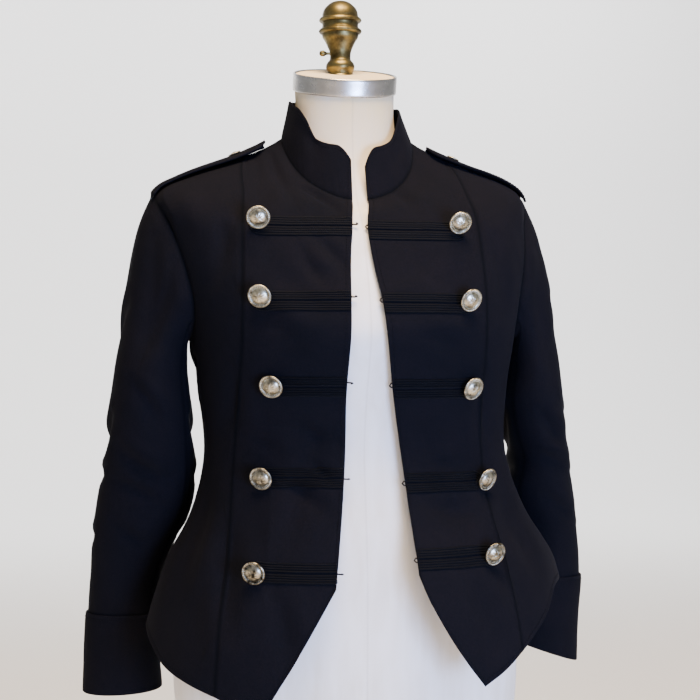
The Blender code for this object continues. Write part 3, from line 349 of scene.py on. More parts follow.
def grid_normals(grid, is_tube):
    """Outward directions of a grid whose columns go round and whose rows go up."""
    if is_tube:
        around = np.roll(grid, -1, axis=1) - np.roll(grid, 1, axis=1)
    else:
        around = np.gradient(grid, axis=1)
    return unit(np.cross(around, np.gradient(grid, axis=0)))


OUT_OF_REACH = 1.0


def edge_distances(grid, is_tube):
    """How far each point lies from each edge of its piece, measured along the cloth."""
    up = np.linalg.norm(np.diff(grid, axis=0), axis=-1)
    from_low = np.concatenate((np.zeros((1, grid.shape[1])), np.cumsum(up, axis=0)))
    distances = {"low": from_low, "high": from_low[-1:] - from_low}
    round_steps = np.linalg.norm(np.diff(grid, axis=1), axis=-1)
    from_start = np.concatenate((np.zeros((grid.shape[0], 1)), np.cumsum(round_steps, axis=1)), axis=1)
    nowhere = np.full(grid.shape[:2], OUT_OF_REACH)
    distances["start"] = nowhere if is_tube else from_start
    distances["end"] = nowhere if is_tube else from_start[:, -1:] - from_start
    return distances, from_start, from_low


# Creases: what each lies on and the face it is seen on, then its two ends, each as the
# distance across (x on the front and back, y on the sides) and the height. Bend moves its middle sideways. A
# trough has a positive depth, and its cloth gathers in a lower ridge beside it.
Crease = namedtuple("Crease", "on face a za b zb bend half_width depth")
FACES = {"front": (0, (0, -1, 0)), "back": (0, (0, 1, 0)), "left": (1, (-1, 0, 0)), "right": (1, (1, 0, 0))}
CREASES = tuple(Crease(on, face, *numbers) for on, face, rows in (
    ("body", "front", (
        # From the neck and collar down the left front
        (-.062, .772, -.026, .744, .003, .0045, .0030), (-.088, .815, -.073, .757, -.003, .0060, .0032),
        (-.104, .806, -.118, .760, .003, .0060, .0020), (-.070, .700, -.046, .664, -.004, .0080, .0024),
        (-.052, .712, -.024, .672, .003, .0070, .0020), (-.094, .792, -.122, .742, .006, .0090, .0022),
        (-.138, .752, -.142, .690, -.003, .0100, .0024), (-.154, .742, -.160, .668, .004, .0080, .0026),
        # Round the left bust and waist
        (-.128, .626, -.082, .604, .004, .0100, .0020), (-.140, .566, -.150, .500, .004, .0100, .0026),
        (-.072, .512, -.036, .496, -.003, .0080, .0020), (-.084, .444, -.046, .420, .003, .0080, .0030),
        (-.126, .500, -.092, .478, .004, .0070, .0018), (-.064, .474, -.040, .452, .002, .0060, .0016),
        # Left skirt
        (-.146, .404, -.160, .310, .006, .0130, .0032), (-.104, .338, -.092, .262, .004, .0120, .0024),
        (-.172, .352, -.186, .270, -.004, .0100, .0026),
        # Right front from the collar down
        (.040, .772, .060, .742, .003, .0070, .0018), (.112, .762, .132, .700, -.004, .0100, .0020),
        (.148, .716, .152, .640, .003, .0090, .0024), (.058, .606, .108, .590, .003, .0100, .0016),
        (.136, .560, .140, .494, -.004, .0100, .0022), (.060, .430, .126, .418, -.004, .0110, .0028),
        (.072, .470, .110, .462, .002, .0070, .0014),
        # Right skirt
        (.140, .404, .158, .330, -.005, .0120, .0030), (.098, .366, .122, .286, .004, .0110, .0026),
        (.172, .392, .190, .352, .002, .0090, .0022),
    )),
    ("body", "back", (
        # Back
        (-.086, .752, -.060, .664, .010, .0130, .0028), (.092, .748, .066, .668, -.010, .0130, .0026),
        (-.052, .596, .020, .584, .004, .0100, .0022), (-.024, .514, .060, .500, -.005, .0100, .0030),
        (-.070, .486, .006, .470, .004, .0090, .0026), (-.118, .560, -.094, .480, .004, .0110, .0026),
        (.124, .556, .100, .478, -.004, .0110, .0024), (.060, .436, .078, .342, .003, .0130, .0030),
        (-.052, .430, -.066, .336, -.003, .0130, .0032), (.136, .430, .156, .350, .003, .0110, .0026),
    )),
    ("body", "left", (
        # Sides, below the arms
        (-.030, .584, .024, .548, .004, .0110, .0030), (.040, .470, -.010, .396, .006, .0130, .0030),
    )),
    ("body", "right", (
        (-.030, .580, .026, .542, .004, .0110, .0030), (.044, .486, .000, .400, -.006, .0130, .0032),
    )),
    ("sleeve", "front", (
        # Left sleeve: the long crease from shoulder to elbow, the elbow's folds and strains above the cuff
        (-.222, .716, -.246, .560, .006, .0110, .0036), (-.204, .688, -.226, .604, .004, .0090, .0030),
        (-.252, .560, -.214, .508, .004, .0080, .0032), (-.262, .486, -.206, .446, -.005, .0090, .0044),
        (-.270, .446, -.214, .420, .004, .0070, .0034), (-.264, .398, -.222, .372, -.003, .0070, .0026),
    )),
    ("sleeve", "left", (
        (.000, .520, .068, .474, -.008, .0100, .0040), (.026, .452, .092, .430, .006, .0090, .0036),
        (-.020, .644, .030, .560, .008, .0120, .0032), (.050, .380, .104, .360, .004, .0080, .0024),
    )),
    ("sleeve", "back", (
        (-.250, .640, -.214, .566, .006, .0110, .0030), (-.262, .452, -.214, .414, .005, .0090, .0034),
    )),
    ("sleeve", "front", (
        # Right sleeve
        (.214, .706, .236, .566, -.006, .0110, .0034), (.246, .640, .228, .560, .004, .0090, .0026),
        (.222, .520, .262, .486, -.004, .0080, .0034), (.222, .470, .270, .448, .004, .0080, .0040),
        (.236, .420, .280, .392, .003, .0070, .0030),
    )),
    ("sleeve", "right", (
        (.000, .516, .070, .474, -.008, .0100, .0040), (.030, .450, .096, .424, .006, .0090, .0036),
        (-.020, .650, .034, .560, .008, .0120, .0032), (.052, .384, .108, .362, .004, .0080, .0024),
    )),
    ("sleeve", "back", (
        (.250, .640, .214, .566, .006, .0110, .0030), (.268, .456, .220, .414, .005, .0090, .0034),
    )),
    ("collar", "front", (
        # Collar
        (-.060, .846, -.042, .806, .003, .0070, .0010), (.060, .838, .044, .800, .003, .0070, .0010),
    )),
) for numbers in rows)
CREASE_POINTS = 9
# How a crease fades where the cloth turns away, how much wider it is at its second end, and how it tapers.
# The ridge beside it: its share of the depth, how far off it lies and how wide it is, in trough widths.
FACING_FADE, CREASE_WIDENING, CREASE_TAPER = 0.7, (0.75, 0.5), 1.5
RIDGE_SHARE, RIDGE_AWAY, RIDGE_WIDTH, RIDGE_END = 0.45, 1.9, 1.1, 3
# The share of its depth that a crease keeps at its ends, and where its swell starts and how far it runs
END_SHARE, SWELL_START, SWELL_RUN = 0.15, 0.12, 0.76


def crease_line(crease):
    """A crease's own points across and up, bowed by its bend."""
    start, end = np.array((crease.a, crease.za)), np.array((crease.b, crease.zb))
    run = end - start
    side = np.array((-run[1], run[0])) / np.linalg.norm(run)
    shares = np.linspace(0, 1, CREASE_POINTS)
    bow = 4 * crease.bend * shares * (1 - shares)
    return start + shares[:, None] * run + bow[:, None] * side, shares


def crease_depth(group, points, normals, strength):
    """How far the creases of one kind of piece draw its points in."""
    depth = np.zeros(points.shape[:-1])
    for crease in CREASES:
        if crease.on != group:
            continue
        axis, looking = FACES[crease.face]
        place = np.stack((points[..., axis], points[..., 2]), axis=-1)
        facing = np.clip(normals @ np.array(looking), 0, 1) ** FACING_FADE
        line, shares = crease_line(crease)
        nearest = np.full(depth.shape, np.inf)
        along, side = np.zeros(depth.shape), np.zeros(depth.shape)
        for number in range(len(line) - 1):
            run = line[number + 1] - line[number]
            part = np.clip(((place - line[number]) @ run) / (run @ run), 0, 1)
            gap = place - line[number] - part[..., None] * run
            distance = np.linalg.norm(gap, axis=-1)
            closer = distance < nearest
            nearest = np.where(closer, distance, nearest)
            along = np.where(closer, shares[number] + part * (shares[number + 1] - shares[number]), along)
            side = np.where(closer, np.sign(run[0] * gap[..., 1] - run[1] * gap[..., 0]), side)
        reach = crease.half_width * (CREASE_WIDENING[0] + CREASE_WIDENING[1] * along)
        swell = np.sin(np.pi * np.clip(SWELL_START + SWELL_RUN * along, 0, 1)) ** CREASE_TAPER
        swell = END_SHARE + (1 - END_SHARE) * swell
        trough = np.exp(-(nearest / reach) ** 2)
        ridge = np.exp(-((nearest * side - RIDGE_AWAY * reach) / (RIDGE_WIDTH * reach)) ** 2)
        fade = np.exp(-(np.maximum(nearest - RIDGE_END * reach, 0) / reach) ** 2)
        depth += strength * crease.depth * swell * facing * (trough - RIDGE_SHARE * ridge * fade)
    return depth


SWELL_SIZE, SWELL_DEPTH = 0.075, 0.0010
RIPPLE_SIZE, RIPPLE_DEPTH, RIPPLE_OFFSET = 0.028, 0.00035, Vector((7, 3, 5))


def unevenness(points):
    """The slight swell and ripple of hanging wool, the same for two pieces where they meet."""
    flat = points.reshape(-1, 3)
    wave = [SWELL_DEPTH * noise.noise(Vector(p) / SWELL_SIZE)
            + RIPPLE_DEPTH * noise.noise(Vector(p) / RIPPLE_SIZE + RIPPLE_OFFSET) for p in flat]
    return np.array(wave).reshape(points.shape[:-1])


SEAM_REACH, SEAM_CLOSING = 0.0026, 0.0006
PUCKER_REACH, PUCKER_PITCH, PUCKER_DEPTH = 0.010, 0.012, 0.0004


def seam_depth(distances, free, along, depth):
    """How far a piece dips and puckers towards its seams."""
    dip = np.zeros_like(along)
    for edge, distance in distances.items():
        if edge not in free:
            pucker = np.sin(2 * np.pi * along / PUCKER_PITCH) * np.exp(-distance / PUCKER_REACH)
            sunk = depth * np.exp(-(distance / SEAM_REACH) ** 2)
            dip = np.maximum(dip, sunk + PUCKER_DEPTH * pucker)
    return dip


def closed_seams(grid, is_tube, free):
    """Moves the sewn edges outwards along the cloth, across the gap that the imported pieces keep. The foot of
    a collar or strap, whose high edge is free, has twice as far to go."""
    grid = grid.copy()
    if "low" not in free:
        grid[0] += (2 if "high" in free else 1) * SEAM_CLOSING * unit(grid[0] - grid[2])
    if "high" not in free:
        grid[-1] += SEAM_CLOSING * unit(grid[-1] - grid[-3])
    if not is_tube and "start" not in free:
        grid[:, 0] += SEAM_CLOSING * unit(grid[:, 0] - grid[:, 2])
    if not is_tube and "end" not in free:
        grid[:, -1] += SEAM_CLOSING * unit(grid[:, -1] - grid[:, -3])
    return grid


def nearest_edge(distances, edges):
    """How far each point lies from the nearest of some edges, or out of reach where there are none."""
    nowhere = np.full(distances["low"].shape, OUT_OF_REACH)
    return np.min([nowhere, *(distances[edge] for edge in edges)], axis=0)


# How far into its thickness a free edge of the cloth is rounded, and how far down
EDGE_ROUNDING, EDGE_DEPTH = 0.55, 0.9


def rounded_edge(distances, free, wall):
    """How far a free edge is rounded off, on each face of the cloth."""
    radius = wall * EDGE_ROUNDING
    share = np.clip(1 - nearest_edge(distances, free) / radius, 0, 1)
    return radius * EDGE_DEPTH * (1 - np.sqrt(np.maximum(1 - share ** 2, 0)))


# Meshes

Sheet = namedtuple("Sheet", "grid normals is_tube distances across up")
GRID_STEPS = 7
# The creases fade to this share at an edge, over this distance
EDGE_CALM, CALM_REACH = 0.3, 0.004
SHARP_TURN = math.radians(55)


def shaped_sheet(node, group, outward, free, cloth):
    """A cloth piece's fine outer points, creased and drawn in at its seams."""
    coarse, is_tube = wall_grid(node, outward)
    grid = finer_grid(coarse, is_tube, GRID_STEPS)
    normals = grid_normals(grid, is_tube)
    distances, across, up = edge_distances(grid, is_tube)
    shift = -crease_depth(group, grid, normals, cloth.crease_strength)
    shift += unevenness(grid)
    shift -= seam_depth(distances, free, across + up, cloth.seam_depth)
    calm = np.clip(nearest_edge(distances, distances) / CALM_REACH, EDGE_CALM, 1)
    grid = closed_seams(grid + (shift * calm)[..., None] * normals, is_tube, free)
    return coarse, Sheet(grid, grid_normals(grid, is_tube), is_tube, distances, across, up)


def linked(name, mesh):
    """An object of a mesh, in the scene."""
    piece = bpy.data.objects.new(name, mesh)
    bpy.context.scene.collection.objects.link(piece)
    return piece


def finish_mesh(mesh, material):
    """Shades a mesh smooth but for its sharp edges, in its material."""
    mesh.shade_smooth()
    mesh.set_sharp_from_angle(angle=SHARP_TURN)
    mesh.materials.append(material)


def face_outwards(mesh, merge=False):
    """Turns a closed mesh's faces to point outwards, after its own start and end are merged."""
    work = merged(mesh) if merge else bmesh.new()
    if not merge:
        work.from_mesh(mesh)
    bmesh.ops.recalc_face_normals(work, faces=work.faces)
    work.to_mesh(mesh)
    work.free()


def new_mesh_object(name, points, faces, material, uvs=None, attributes=None):
    """A mesh object in the part's frame, smooth but for its sharp edges, with its place in its mesh."""
    mesh = bpy.data.meshes.new(name)
    mesh.from_pydata([tuple(p) for p in points], [], faces)
    if uvs is not None:
        layer = mesh.uv_layers.new(name="cut")
        corners = np.empty(len(mesh.loops), dtype=np.int32)
        mesh.loops.foreach_get("vertex_index", corners)
        layer.data.foreach_set("uv", np.asarray(uvs, dtype=np.float32)[corners].ravel())
    for label, values in (attributes or {}).items():
        attribute = mesh.attributes.new(label, "FLOAT", "POINT")
        attribute.data.foreach_set("value", np.asarray(values, dtype=np.float32).ravel())
    finish_mesh(mesh, material)
    return linked(name, mesh)


def shell_faces(rows, columns, is_tube):
    """The faces of a wall whose outer points come first and whose inner points follow."""
    shift = rows * columns
    steps = columns if is_tube else columns - 1
    row, column = np.meshgrid(np.arange(rows - 1), np.arange(steps), indexing="ij")
    after = (column + 1) % columns
    a, b = row * columns + column, row * columns + after
    outer = np.stack((a, b, b + columns, a + columns), axis=-1).reshape(-1, 4)
    faces = outer.tolist() + (outer[:, ::-1] + shift).tolist()
    for column in range(steps):
        after = (column + 1) % columns
        top = (rows - 1) * columns
        faces.append([after, column, shift + column, shift + after])
        faces.append([top + column, top + after, shift + top + after, shift + top + column])
    if not is_tube:
        for row in range(rows - 1):
            low, high = row * columns, (row + 1) * columns
            end_low, end_high = low + columns - 1, high + columns - 1
            faces.append([low, high, shift + high, shift + low])
            faces.append([end_high, end_low, shift + end_low, shift + end_high])
    return faces


def cloth_piece(name, sheet, wall, free, material):
    """A thin shell on a shaped sheet, with its free edges rounded off."""
    rounded = rounded_edge(sheet.distances, free, wall)[..., None]
    outer = sheet.grid - rounded * sheet.normals
    inner = sheet.grid - (wall - rounded) * sheet.normals
    rows, columns = sheet.grid.shape[:2]
    points = np.concatenate((outer.reshape(-1, 3), inner.reshape(-1, 3)))
    uvs = np.stack((sheet.across, sheet.up), axis=-1).reshape(-1, 2)
    # The seam mask tells the wool's material where to paint shade along the sewn seams, over the same reach as
    # their dip.
    near = nearest_edge(sheet.distances, [edge for edge in sheet.distances if edge not in free])
    seam = np.exp(-(near / SEAM_REACH) ** 2).reshape(-1)
    return new_mesh_object(name, points, shell_faces(rows, columns, sheet.is_tube), material,
                           np.concatenate((uvs, uvs)), {"seam": np.concatenate((seam, seam))})


def hand_over(piece, slot, *nodes):
    """The piece rides on the part and stands for its CAD nodes. Its slot is not used."""
    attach(piece, BODY)
    if nodes:
        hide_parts(*nodes)
    return piece


ON_AXIS = 1e-7


def turned_mesh(profile, segments):
    """Points and faces of a turned body. The profile has (radius, height) from its foot up to its top."""
    points, rings = [], []
    for radius, height in profile:
        if radius < ON_AXIS:
            rings.append([len(points)])
            points.append((0.0, 0.0, height))
            continue
        rings.append(list(range(len(points), len(points) + segments)))
        for number in range(segments):
            turn = 2 * math.pi * number / segments
            points.append((radius * math.cos(turn), radius * math.sin(turn), height))
    faces = []
    for lower, upper in zip(rings, rings[1:]):
        for number in range(segments):
            after = (number + 1) % segments
            if len(lower) == 1 and len(upper) > 1:
                faces.append((lower[0], upper[after], upper[number]))
            elif len(upper) == 1 and len(lower) > 1:
                faces.append((lower[number], lower[after], upper[0]))
            elif len(lower) > 1:
                faces.append((lower[number], lower[after], upper[after], upper[number]))
    return np.array(points), faces


def smooth_profile(profile, steps):
    """A turned profile on smooth curves through its points, with its sharp corners kept."""
    points = np.array(profile, dtype=float)
    points = finer(points, np.arange((len(points) - 1) * steps + 1) / steps)
    points[:, 0] = np.maximum(points[:, 0], 0)
    return points


def disc_place(node, outward):
    """Where a round CAD piece stands: the middle of its foot and its axis."""
    points = np.unique(np.round([v.co[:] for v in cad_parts[node].data.vertices], 7), axis=0)
    middle = points.mean(axis=0)
    _, _, axes = np.linalg.svd(points - middle)
    spread = [np.ptp((points - middle) @ axis) for axis in axes]
    axis = axes[int(np.argmin(spread))]
    if axis @ np.array(outward) < 0:
        axis = -axis
    heights = (points - middle) @ axis
    return Vector(middle + axis * heights.min()), Vector(axis), float(np.ptp(heights))


def standing(point, axis):
    return Matrix.Translation(point) @ axis.to_track_quat("Z", "Y").to_matrix().to_4x4()


# Nodes

NOISE, WAVE, MATH, RANGE, MIX, BUMP, SPLIT = (
    "ShaderNodeTexNoise", "ShaderNodeTexWave", "ShaderNodeMath", "ShaderNodeMapRange", "ShaderNodeMix",
    "ShaderNodeBump", "ShaderNodeSeparateXYZ")


def add(tree, kind, inputs=None, **settings):
    """Adds a node with its settings. An input takes a plain value, or a link from a socket or from the first
    output that a node has in use."""
    node = tree.nodes.new(kind)
    for name, value in settings.items():
        setattr(node, name, value)
    for name, value in (inputs or {}).items():
        if isinstance(value, bpy.types.Node):
            value = next(socket for socket in value.outputs if socket.enabled)
        if isinstance(value, bpy.types.NodeSocket):
            tree.links.new(value, node.inputs[name])
        else:
            node.inputs[name].default_value = value
    return node


def new_shape_tree(name, sockets):
    """A Geometry Nodes tree with a geometry in and out and the named inputs: (name, kind, default)."""
    tree = bpy.data.node_groups.new(name, "GeometryNodeTree")
    tree.interface.new_socket("Geometry", in_out="INPUT", socket_type="NodeSocketGeometry")
    tree.interface.new_socket("Geometry", in_out="OUTPUT", socket_type="NodeSocketGeometry")
    for label, kind, default in sockets:
        socket = tree.interface.new_socket(label, in_out="INPUT", socket_type=kind)
        if default is not None:
            socket.default_value = default
    return tree, add(tree, "NodeGroupInput"), add(tree, "NodeGroupOutput")


def grow_grains(tree, given, result, line, turn, beside=None):
    """Puts one rounded grain, long along X, at every point of a line: a stitch, a rope strand or a bead."""
    grain = add(tree, "GeometryNodeMeshUVSphere", {"Segments": 8, "Rings": 5, "Radius": 0.5})
    size = add(tree, "ShaderNodeCombineXYZ", {"X": given.outputs["Length"], "Y": given.outputs["Thickness"],
                                             "Z": given.outputs["Thickness"]})
    sized = add(tree, "GeometryNodeTransform", {"Geometry": grain, "Scale": size})
    placed = add(tree, "GeometryNodeInstanceOnPoints", {"Points": line, "Instance": sized, "Rotation": turn})
    real = add(tree, "GeometryNodeRealizeInstances", {"Geometry": placed})
    smooth = add(tree, "GeometryNodeSetShadeSmooth", {"Geometry": real})
    last = add(tree, "GeometryNodeSetMaterial", {"Geometry": smooth, "Material": given.outputs["Material"]})
    if beside is not None:
        join = add(tree, "GeometryNodeJoinGeometry", {"Geometry": beside})
        tree.links.new(last.outputs["Geometry"], join.inputs["Geometry"])
        last = join
    tree.links.new(last.outputs["Geometry"], result.inputs["Geometry"])


def turned_along(tree):
    """The turn that lays a grain's X along its line."""
    return add(tree, "FunctionNodeAlignRotationToVector", {"Vector": add(tree, "GeometryNodeInputTangent")},
               axis="X")


def stitch_tree():
    """Stitches, one after another along every run of edges."""
    tree, given, result = new_shape_tree("Stitch run", (
        ("Pitch", "NodeSocketFloat", 0.0036), ("Length", "NodeSocketFloat", 0.0026),
        ("Thickness", "NodeSocketFloat", 0.0006), ("Material", "NodeSocketMaterial", None)))
    line = add(tree, "GeometryNodeMeshToCurve", {"Mesh": given.outputs["Geometry"]})
    spaced = add(tree, "GeometryNodeResampleCurve", {"Curve": line, "Length": given.outputs["Pitch"]},
                 mode="LENGTH")
    grow_grains(tree, given, result, spaced, turned_along(tree))
    return tree


def ring_tree():
    """A ring of grains round the Z axis, each turned by the twist, added to the piece that comes in."""
    tree, given, result = new_shape_tree("Ring of grains", (
        ("Radius", "NodeSocketFloat", 0.01), ("Height", "NodeSocketFloat", 0.005),
        ("Count", "NodeSocketInt", 32), ("Length", "NodeSocketFloat", 0.002),
        ("Thickness", "NodeSocketFloat", 0.001), ("Twist", "NodeSocketFloat", 0.0),
        ("Material", "NodeSocketMaterial", None)))
    circle = add(tree, "GeometryNodeCurvePrimitiveCircle", {"Resolution": given.outputs["Count"],
                                                            "Radius": given.outputs["Radius"]})
    lift = add(tree, "ShaderNodeCombineXYZ", {"Z": given.outputs["Height"]})
    raised = add(tree, "GeometryNodeTransform", {"Geometry": circle, "Translation": lift})
    twist = add(tree, "ShaderNodeCombineXYZ", {"Z": given.outputs["Twist"]})
    twisted = add(tree, "FunctionNodeRotateRotation", {"Rotation": turned_along(tree), "Rotate By": twist},
                  rotation_space="GLOBAL")
    grow_grains(tree, given, result, raised, twisted, given.outputs["Geometry"])
    return tree


def grown(piece, tree, **values):
    """The piece's mesh with a tree's shapes grown on it, as plain geometry."""
    modifier = piece.modifiers.new(tree.name, "NODES")
    modifier.node_group = tree
    for item in tree.interface.items_tree:
        label = item.name.lower()
        if item.in_out == "INPUT" and label in values:
            modifier[item.identifier] = values[label]
    bpy.context.view_layer.update()
    evaluated = piece.evaluated_get(bpy.context.evaluated_depsgraph_get())
    mesh = bpy.data.meshes.new_from_object(evaluated)
    piece.modifiers.remove(modifier)
    piece.data = mesh
    return piece


# Materials

# How far apart the bands of a wave texture of scale 1 are, in metres, and how far apart they are drawn
WAVE_PITCH = math.pi / 10
THREAD_PITCH, GRAIN_PITCH = 0.00217, 0.01184
# SEAM_SHADE is the painted shade in the linen's centre seam.
SEAM_SHADE, DULL_STEEL, DUST, BARE_WIRE, PINE_GRAIN = (
    linear(shade) for shade in ("#8F8878", "#A5A29C", "#3A3936", "#4A4A4E", "#7E5F3C"))


def rgba(value):
    return (*value, 1)


def finish_of(maker, settings):
    """The maker's material, made the first time that a piece asks for it. The maker adds its pattern's nodes
    and gives back the inputs of the shader."""
    name = maker.__name__
    if name not in bpy.data.materials:
        material = bpy.data.materials.new(name)
        material.use_nodes = True
        tree = material.node_tree
        tree.nodes.clear()
        place = add(tree, "ShaderNodeTexCoord").outputs["Object"]
        shader = add(tree, "ShaderNodeBsdfPrincipled", maker(tree, place, settings))
        add(tree, "ShaderNodeOutputMaterial", {"Surface": shader})
    return bpy.data.materials[name]


def melton_wool(tree, place, cloth):
    """Coat-weight melton: milled wool, brushed, so a soft matt nap hides the weave and pales where it is
    rubbed. The nap's clumps are about 2 mm, drawn coarser than real so that they show."""
    patches = add(tree, NOISE, {"Vector": place, "Scale": 1 / 0.060, "Detail": 4})
    clumps = add(tree, NOISE, {"Vector": place, "Scale": 1 / 0.0019, "Detail": 5, "Roughness": 0.62})
    fibre = add(tree, NOISE, {"Vector": place, "Scale": 1 / 0.0006, "Detail": 2})
    faint = add(tree, MATH, {0: patches, 1: 0.35, 2: 0.3}, operation="MULTIPLY_ADD")
    tone = add(tree, MATH, {0: faint, 1: clumps}, operation="MULTIPLY")
    spread = add(tree, RANGE, {"Value": tone, "From Min": 0.13, "From Max": 0.36})
    wool = add(tree, MIX, {0: spread, 6: rgba(cloth.wool), 7: rgba(cloth.wool_raised)}, data_type="RGBA")
    # Painted shade: along the sewn seams the wool darkens to 0.7 of its colour, where the cloth dips.
    seam = add(tree, "ShaderNodeAttribute", attribute_name="seam").outputs["Fac"]
    shade = add(tree, MIX, {0: seam, 6: wool, 7: rgba(c * 0.7 for c in cloth.wool)}, data_type="RGBA")
    fine = add(tree, BUMP, {"Height": fibre, "Strength": 0.30, "Distance": 0.0002})
    nap = add(tree, BUMP, {"Height": clumps, "Strength": 0.35, "Distance": 0.0004, "Normal": fine})
    return {"Base Color": shade, "Roughness": 0.92, "Specular IOR Level": 0.05, "Sheen Weight": 0.022,
            "Sheen Roughness": 0.45, "Sheen Tint": rgba(cloth.wool_sheen), "Normal": nap}


def mohair_braid(tree, place, trim):
    """Flat mohair braid: plaited black cords with a painted highlight on their crowns. The plait's chevrons
    are
    2 mm apart, read from the braid's own UV map: x across its width and y along it, in metres."""
    cut = add(tree, SPLIT, {"Vector": add(tree, "ShaderNodeUVMap", uv_map="cut")})
    fold = add(tree, MATH, {0: cut.outputs["X"], 1: 0.00245}, operation="PINGPONG")
    slant = add(tree, MATH, {0: cut.outputs["Y"], 1: fold}, operation="ADD")
    turns = add(tree, MATH, {0: slant, 1: 2 * math.pi / 0.0020}, operation="MULTIPLY")
    strand = add(tree, MATH, {0: turns}, operation="SINE")
    crown = add(tree, "ShaderNodeAttribute", attribute_name="crown").outputs["Fac"]
    grain = add(tree, NOISE, {"Vector": place, "Scale": 1 / 0.004, "Detail": 4})
    # Painted highlight: the crowns of the cords take the lighter colour.
    share = add(tree, MATH, {0: crown, 1: grain}, operation="MULTIPLY")
    cords = add(tree, MIX, {0: share, 6: rgba(trim.braid), 7: rgba(trim.braid_light)}, data_type="RGBA")
    plait = add(tree, BUMP, {"Height": strand, "Strength": 0.4, "Distance": 0.0003})
    return {"Base Color": cords, "Roughness": 0.6, "Specular IOR Level": 0.045, "Sheen Weight": 0.02,
            "Sheen Roughness": 0.35, "Normal": plait}


def sewing_thread(tree, place, cloth):
    """Mercerised cotton thread, twisted, with a faint shine along each stitch."""
    tone = add(tree, NOISE, {"Vector": place, "Scale": 1 / 0.006, "Detail": 3})
    thread = add(tree, MIX, {0: tone, 6: rgba(cloth.thread), 7: rgba(cloth.wool)}, data_type="RGBA")
    twist = add(tree, NOISE, {"Vector": place, "Scale": 1 / 0.0005, "Detail": 3})
    relief = add(tree, BUMP, {"Height": twist, "Strength": 0.4, "Distance": 0.0002})
    return {"Base Color": thread, "Roughness": 0.7, "Specular IOR Level": 0.05, "Normal": relief}


def plated_silver(tree, place, trim):
    """Die-struck buttons, silver plated and polished: bright crowns, with tarnish left in the hollows, and
    painted shade that darkens the lower buttons, further down the jacket."""
    hollow = add(tree, "ShaderNodeAttribute", attribute_name="hollow").outputs["Fac"]
    clouds = add(tree, NOISE, {"Vector": place, "Scale": 1 / 0.006, "Detail": 5})
    cloudy = add(tree, RANGE, {"Value": clouds, "From Min": 0.40, "From Max": 0.66, "To Max": 0.70})
    height = add(tree, SPLIT, {"Vector": place}).outputs["Z"]
    # Painted shade: a button below 0.62 m takes more of the darker colour the lower it hangs, up to 0.35 of it
    # at 0.34 m.
    low = add(tree, RANGE, {"Value": height, "From Min": 0.34, "From Max": 0.62, "To Min": 0.35,
                            "To Max": 0.0})
    deep = add(tree, MATH, {0: hollow, 1: cloudy}, operation="MAXIMUM")
    share = add(tree, MATH, {0: deep, 1: low}, operation="ADD", use_clamp=True)
    plate = add(tree, MIX, {0: share, 6: rgba(trim.silver), 7: rgba(trim.tarnish)}, data_type="RGBA")
    rubbing = add(tree, NOISE, {"Vector": place, "Scale": 1 / 0.0025, "Detail": 5})
    rough = add(tree, RANGE, {"Value": rubbing, "To Min": 0.20, "To Max": 0.42})
    dents = add(tree, NOISE, {"Vector": place, "Scale": 1 / 0.0016, "Detail": 3})
    relief = add(tree, BUMP, {"Height": dents, "Strength": 0.15, "Distance": 0.0002})
    return {"Base Color": plate, "Metallic": 1, "Roughness": rough, "Normal": relief}


def form_linen(tree, place, form):
    """Plain-woven cream linen stretched over the form: slubbed threads about 2 mm apart, drawn coarser than
    real so that they show, and a seam down the centre front and back."""
    parts = add(tree, SPLIT, {"Vector": place})
    slubs = add(tree, "ShaderNodeMapping", {"Vector": place, "Scale": (6, 6, 1)})
    streaks = add(tree, NOISE, {"Vector": slubs, "Scale": 1 / 0.090, "Detail": 4})
    soil = add(tree, NOISE, {"Vector": place, "Scale": 1 / 0.11, "Detail": 4})
    tone = add(tree, MATH, {0: streaks, 1: soil}, operation="MULTIPLY")
    share = add(tree, RANGE, {"Value": tone, "From Min": 0.15, "From Max": 0.50, "To Max": 0.8})
    # Painted warm light: from 0.70 m up to 0.87 m the linen turns to a warm cream at the neck, where the
    # overhead light falls warm.
    height = add(tree, RANGE, {"Value": parts.outputs["Z"], "From Min": 0.70, "From Max": 0.87})
    clean = add(tree, MIX, {0: height, 6: rgba(form.linen), 7: rgba(form.linen_neck)}, data_type="RGBA")
    cloth = add(tree, MIX, {0: share, 6: clean, 7: rgba(form.linen_shade)}, data_type="RGBA")
    # Painted shade in the centre seam's groove: up to 0.16 of the way to SEAM_SHADE within 0.4 mm of the seam,
    # none beyond 1.6 mm.
    off = add(tree, MATH, {0: parts.outputs["X"]}, operation="ABSOLUTE")
    seam = add(tree, RANGE, {"Value": off, "From Min": 0.0004, "From Max": 0.0016, "To Min": 0.16,
                             "To Max": 0.0})
    sewn = add(tree, MIX, {0: seam, 6: cloth, 7: rgba(SEAM_SHADE)}, data_type="RGBA")
    weave = {"Vector": place, "Scale": WAVE_PITCH / THREAD_PITCH, "Distortion": 1.2, "Detail": 2.0,
             "Detail Scale": 2.0}
    weft = add(tree, WAVE, weave, bands_direction="Z").outputs["Fac"]
    warp = add(tree, WAVE, weave, bands_direction="X").outputs["Fac"]
    both = add(tree, MATH, {0: weft, 1: warp}, operation="ADD")
    threads = add(tree, BUMP, {"Height": both, "Strength": 0.08, "Distance": 0.0002})
    groove = add(tree, BUMP, {"Height": seam, "Strength": 0.5, "Distance": -0.0006, "Normal": threads})
    return {"Base Color": sewn, "Roughness": 0.82, "Specular IOR Level": 0.3, "Normal": groove}


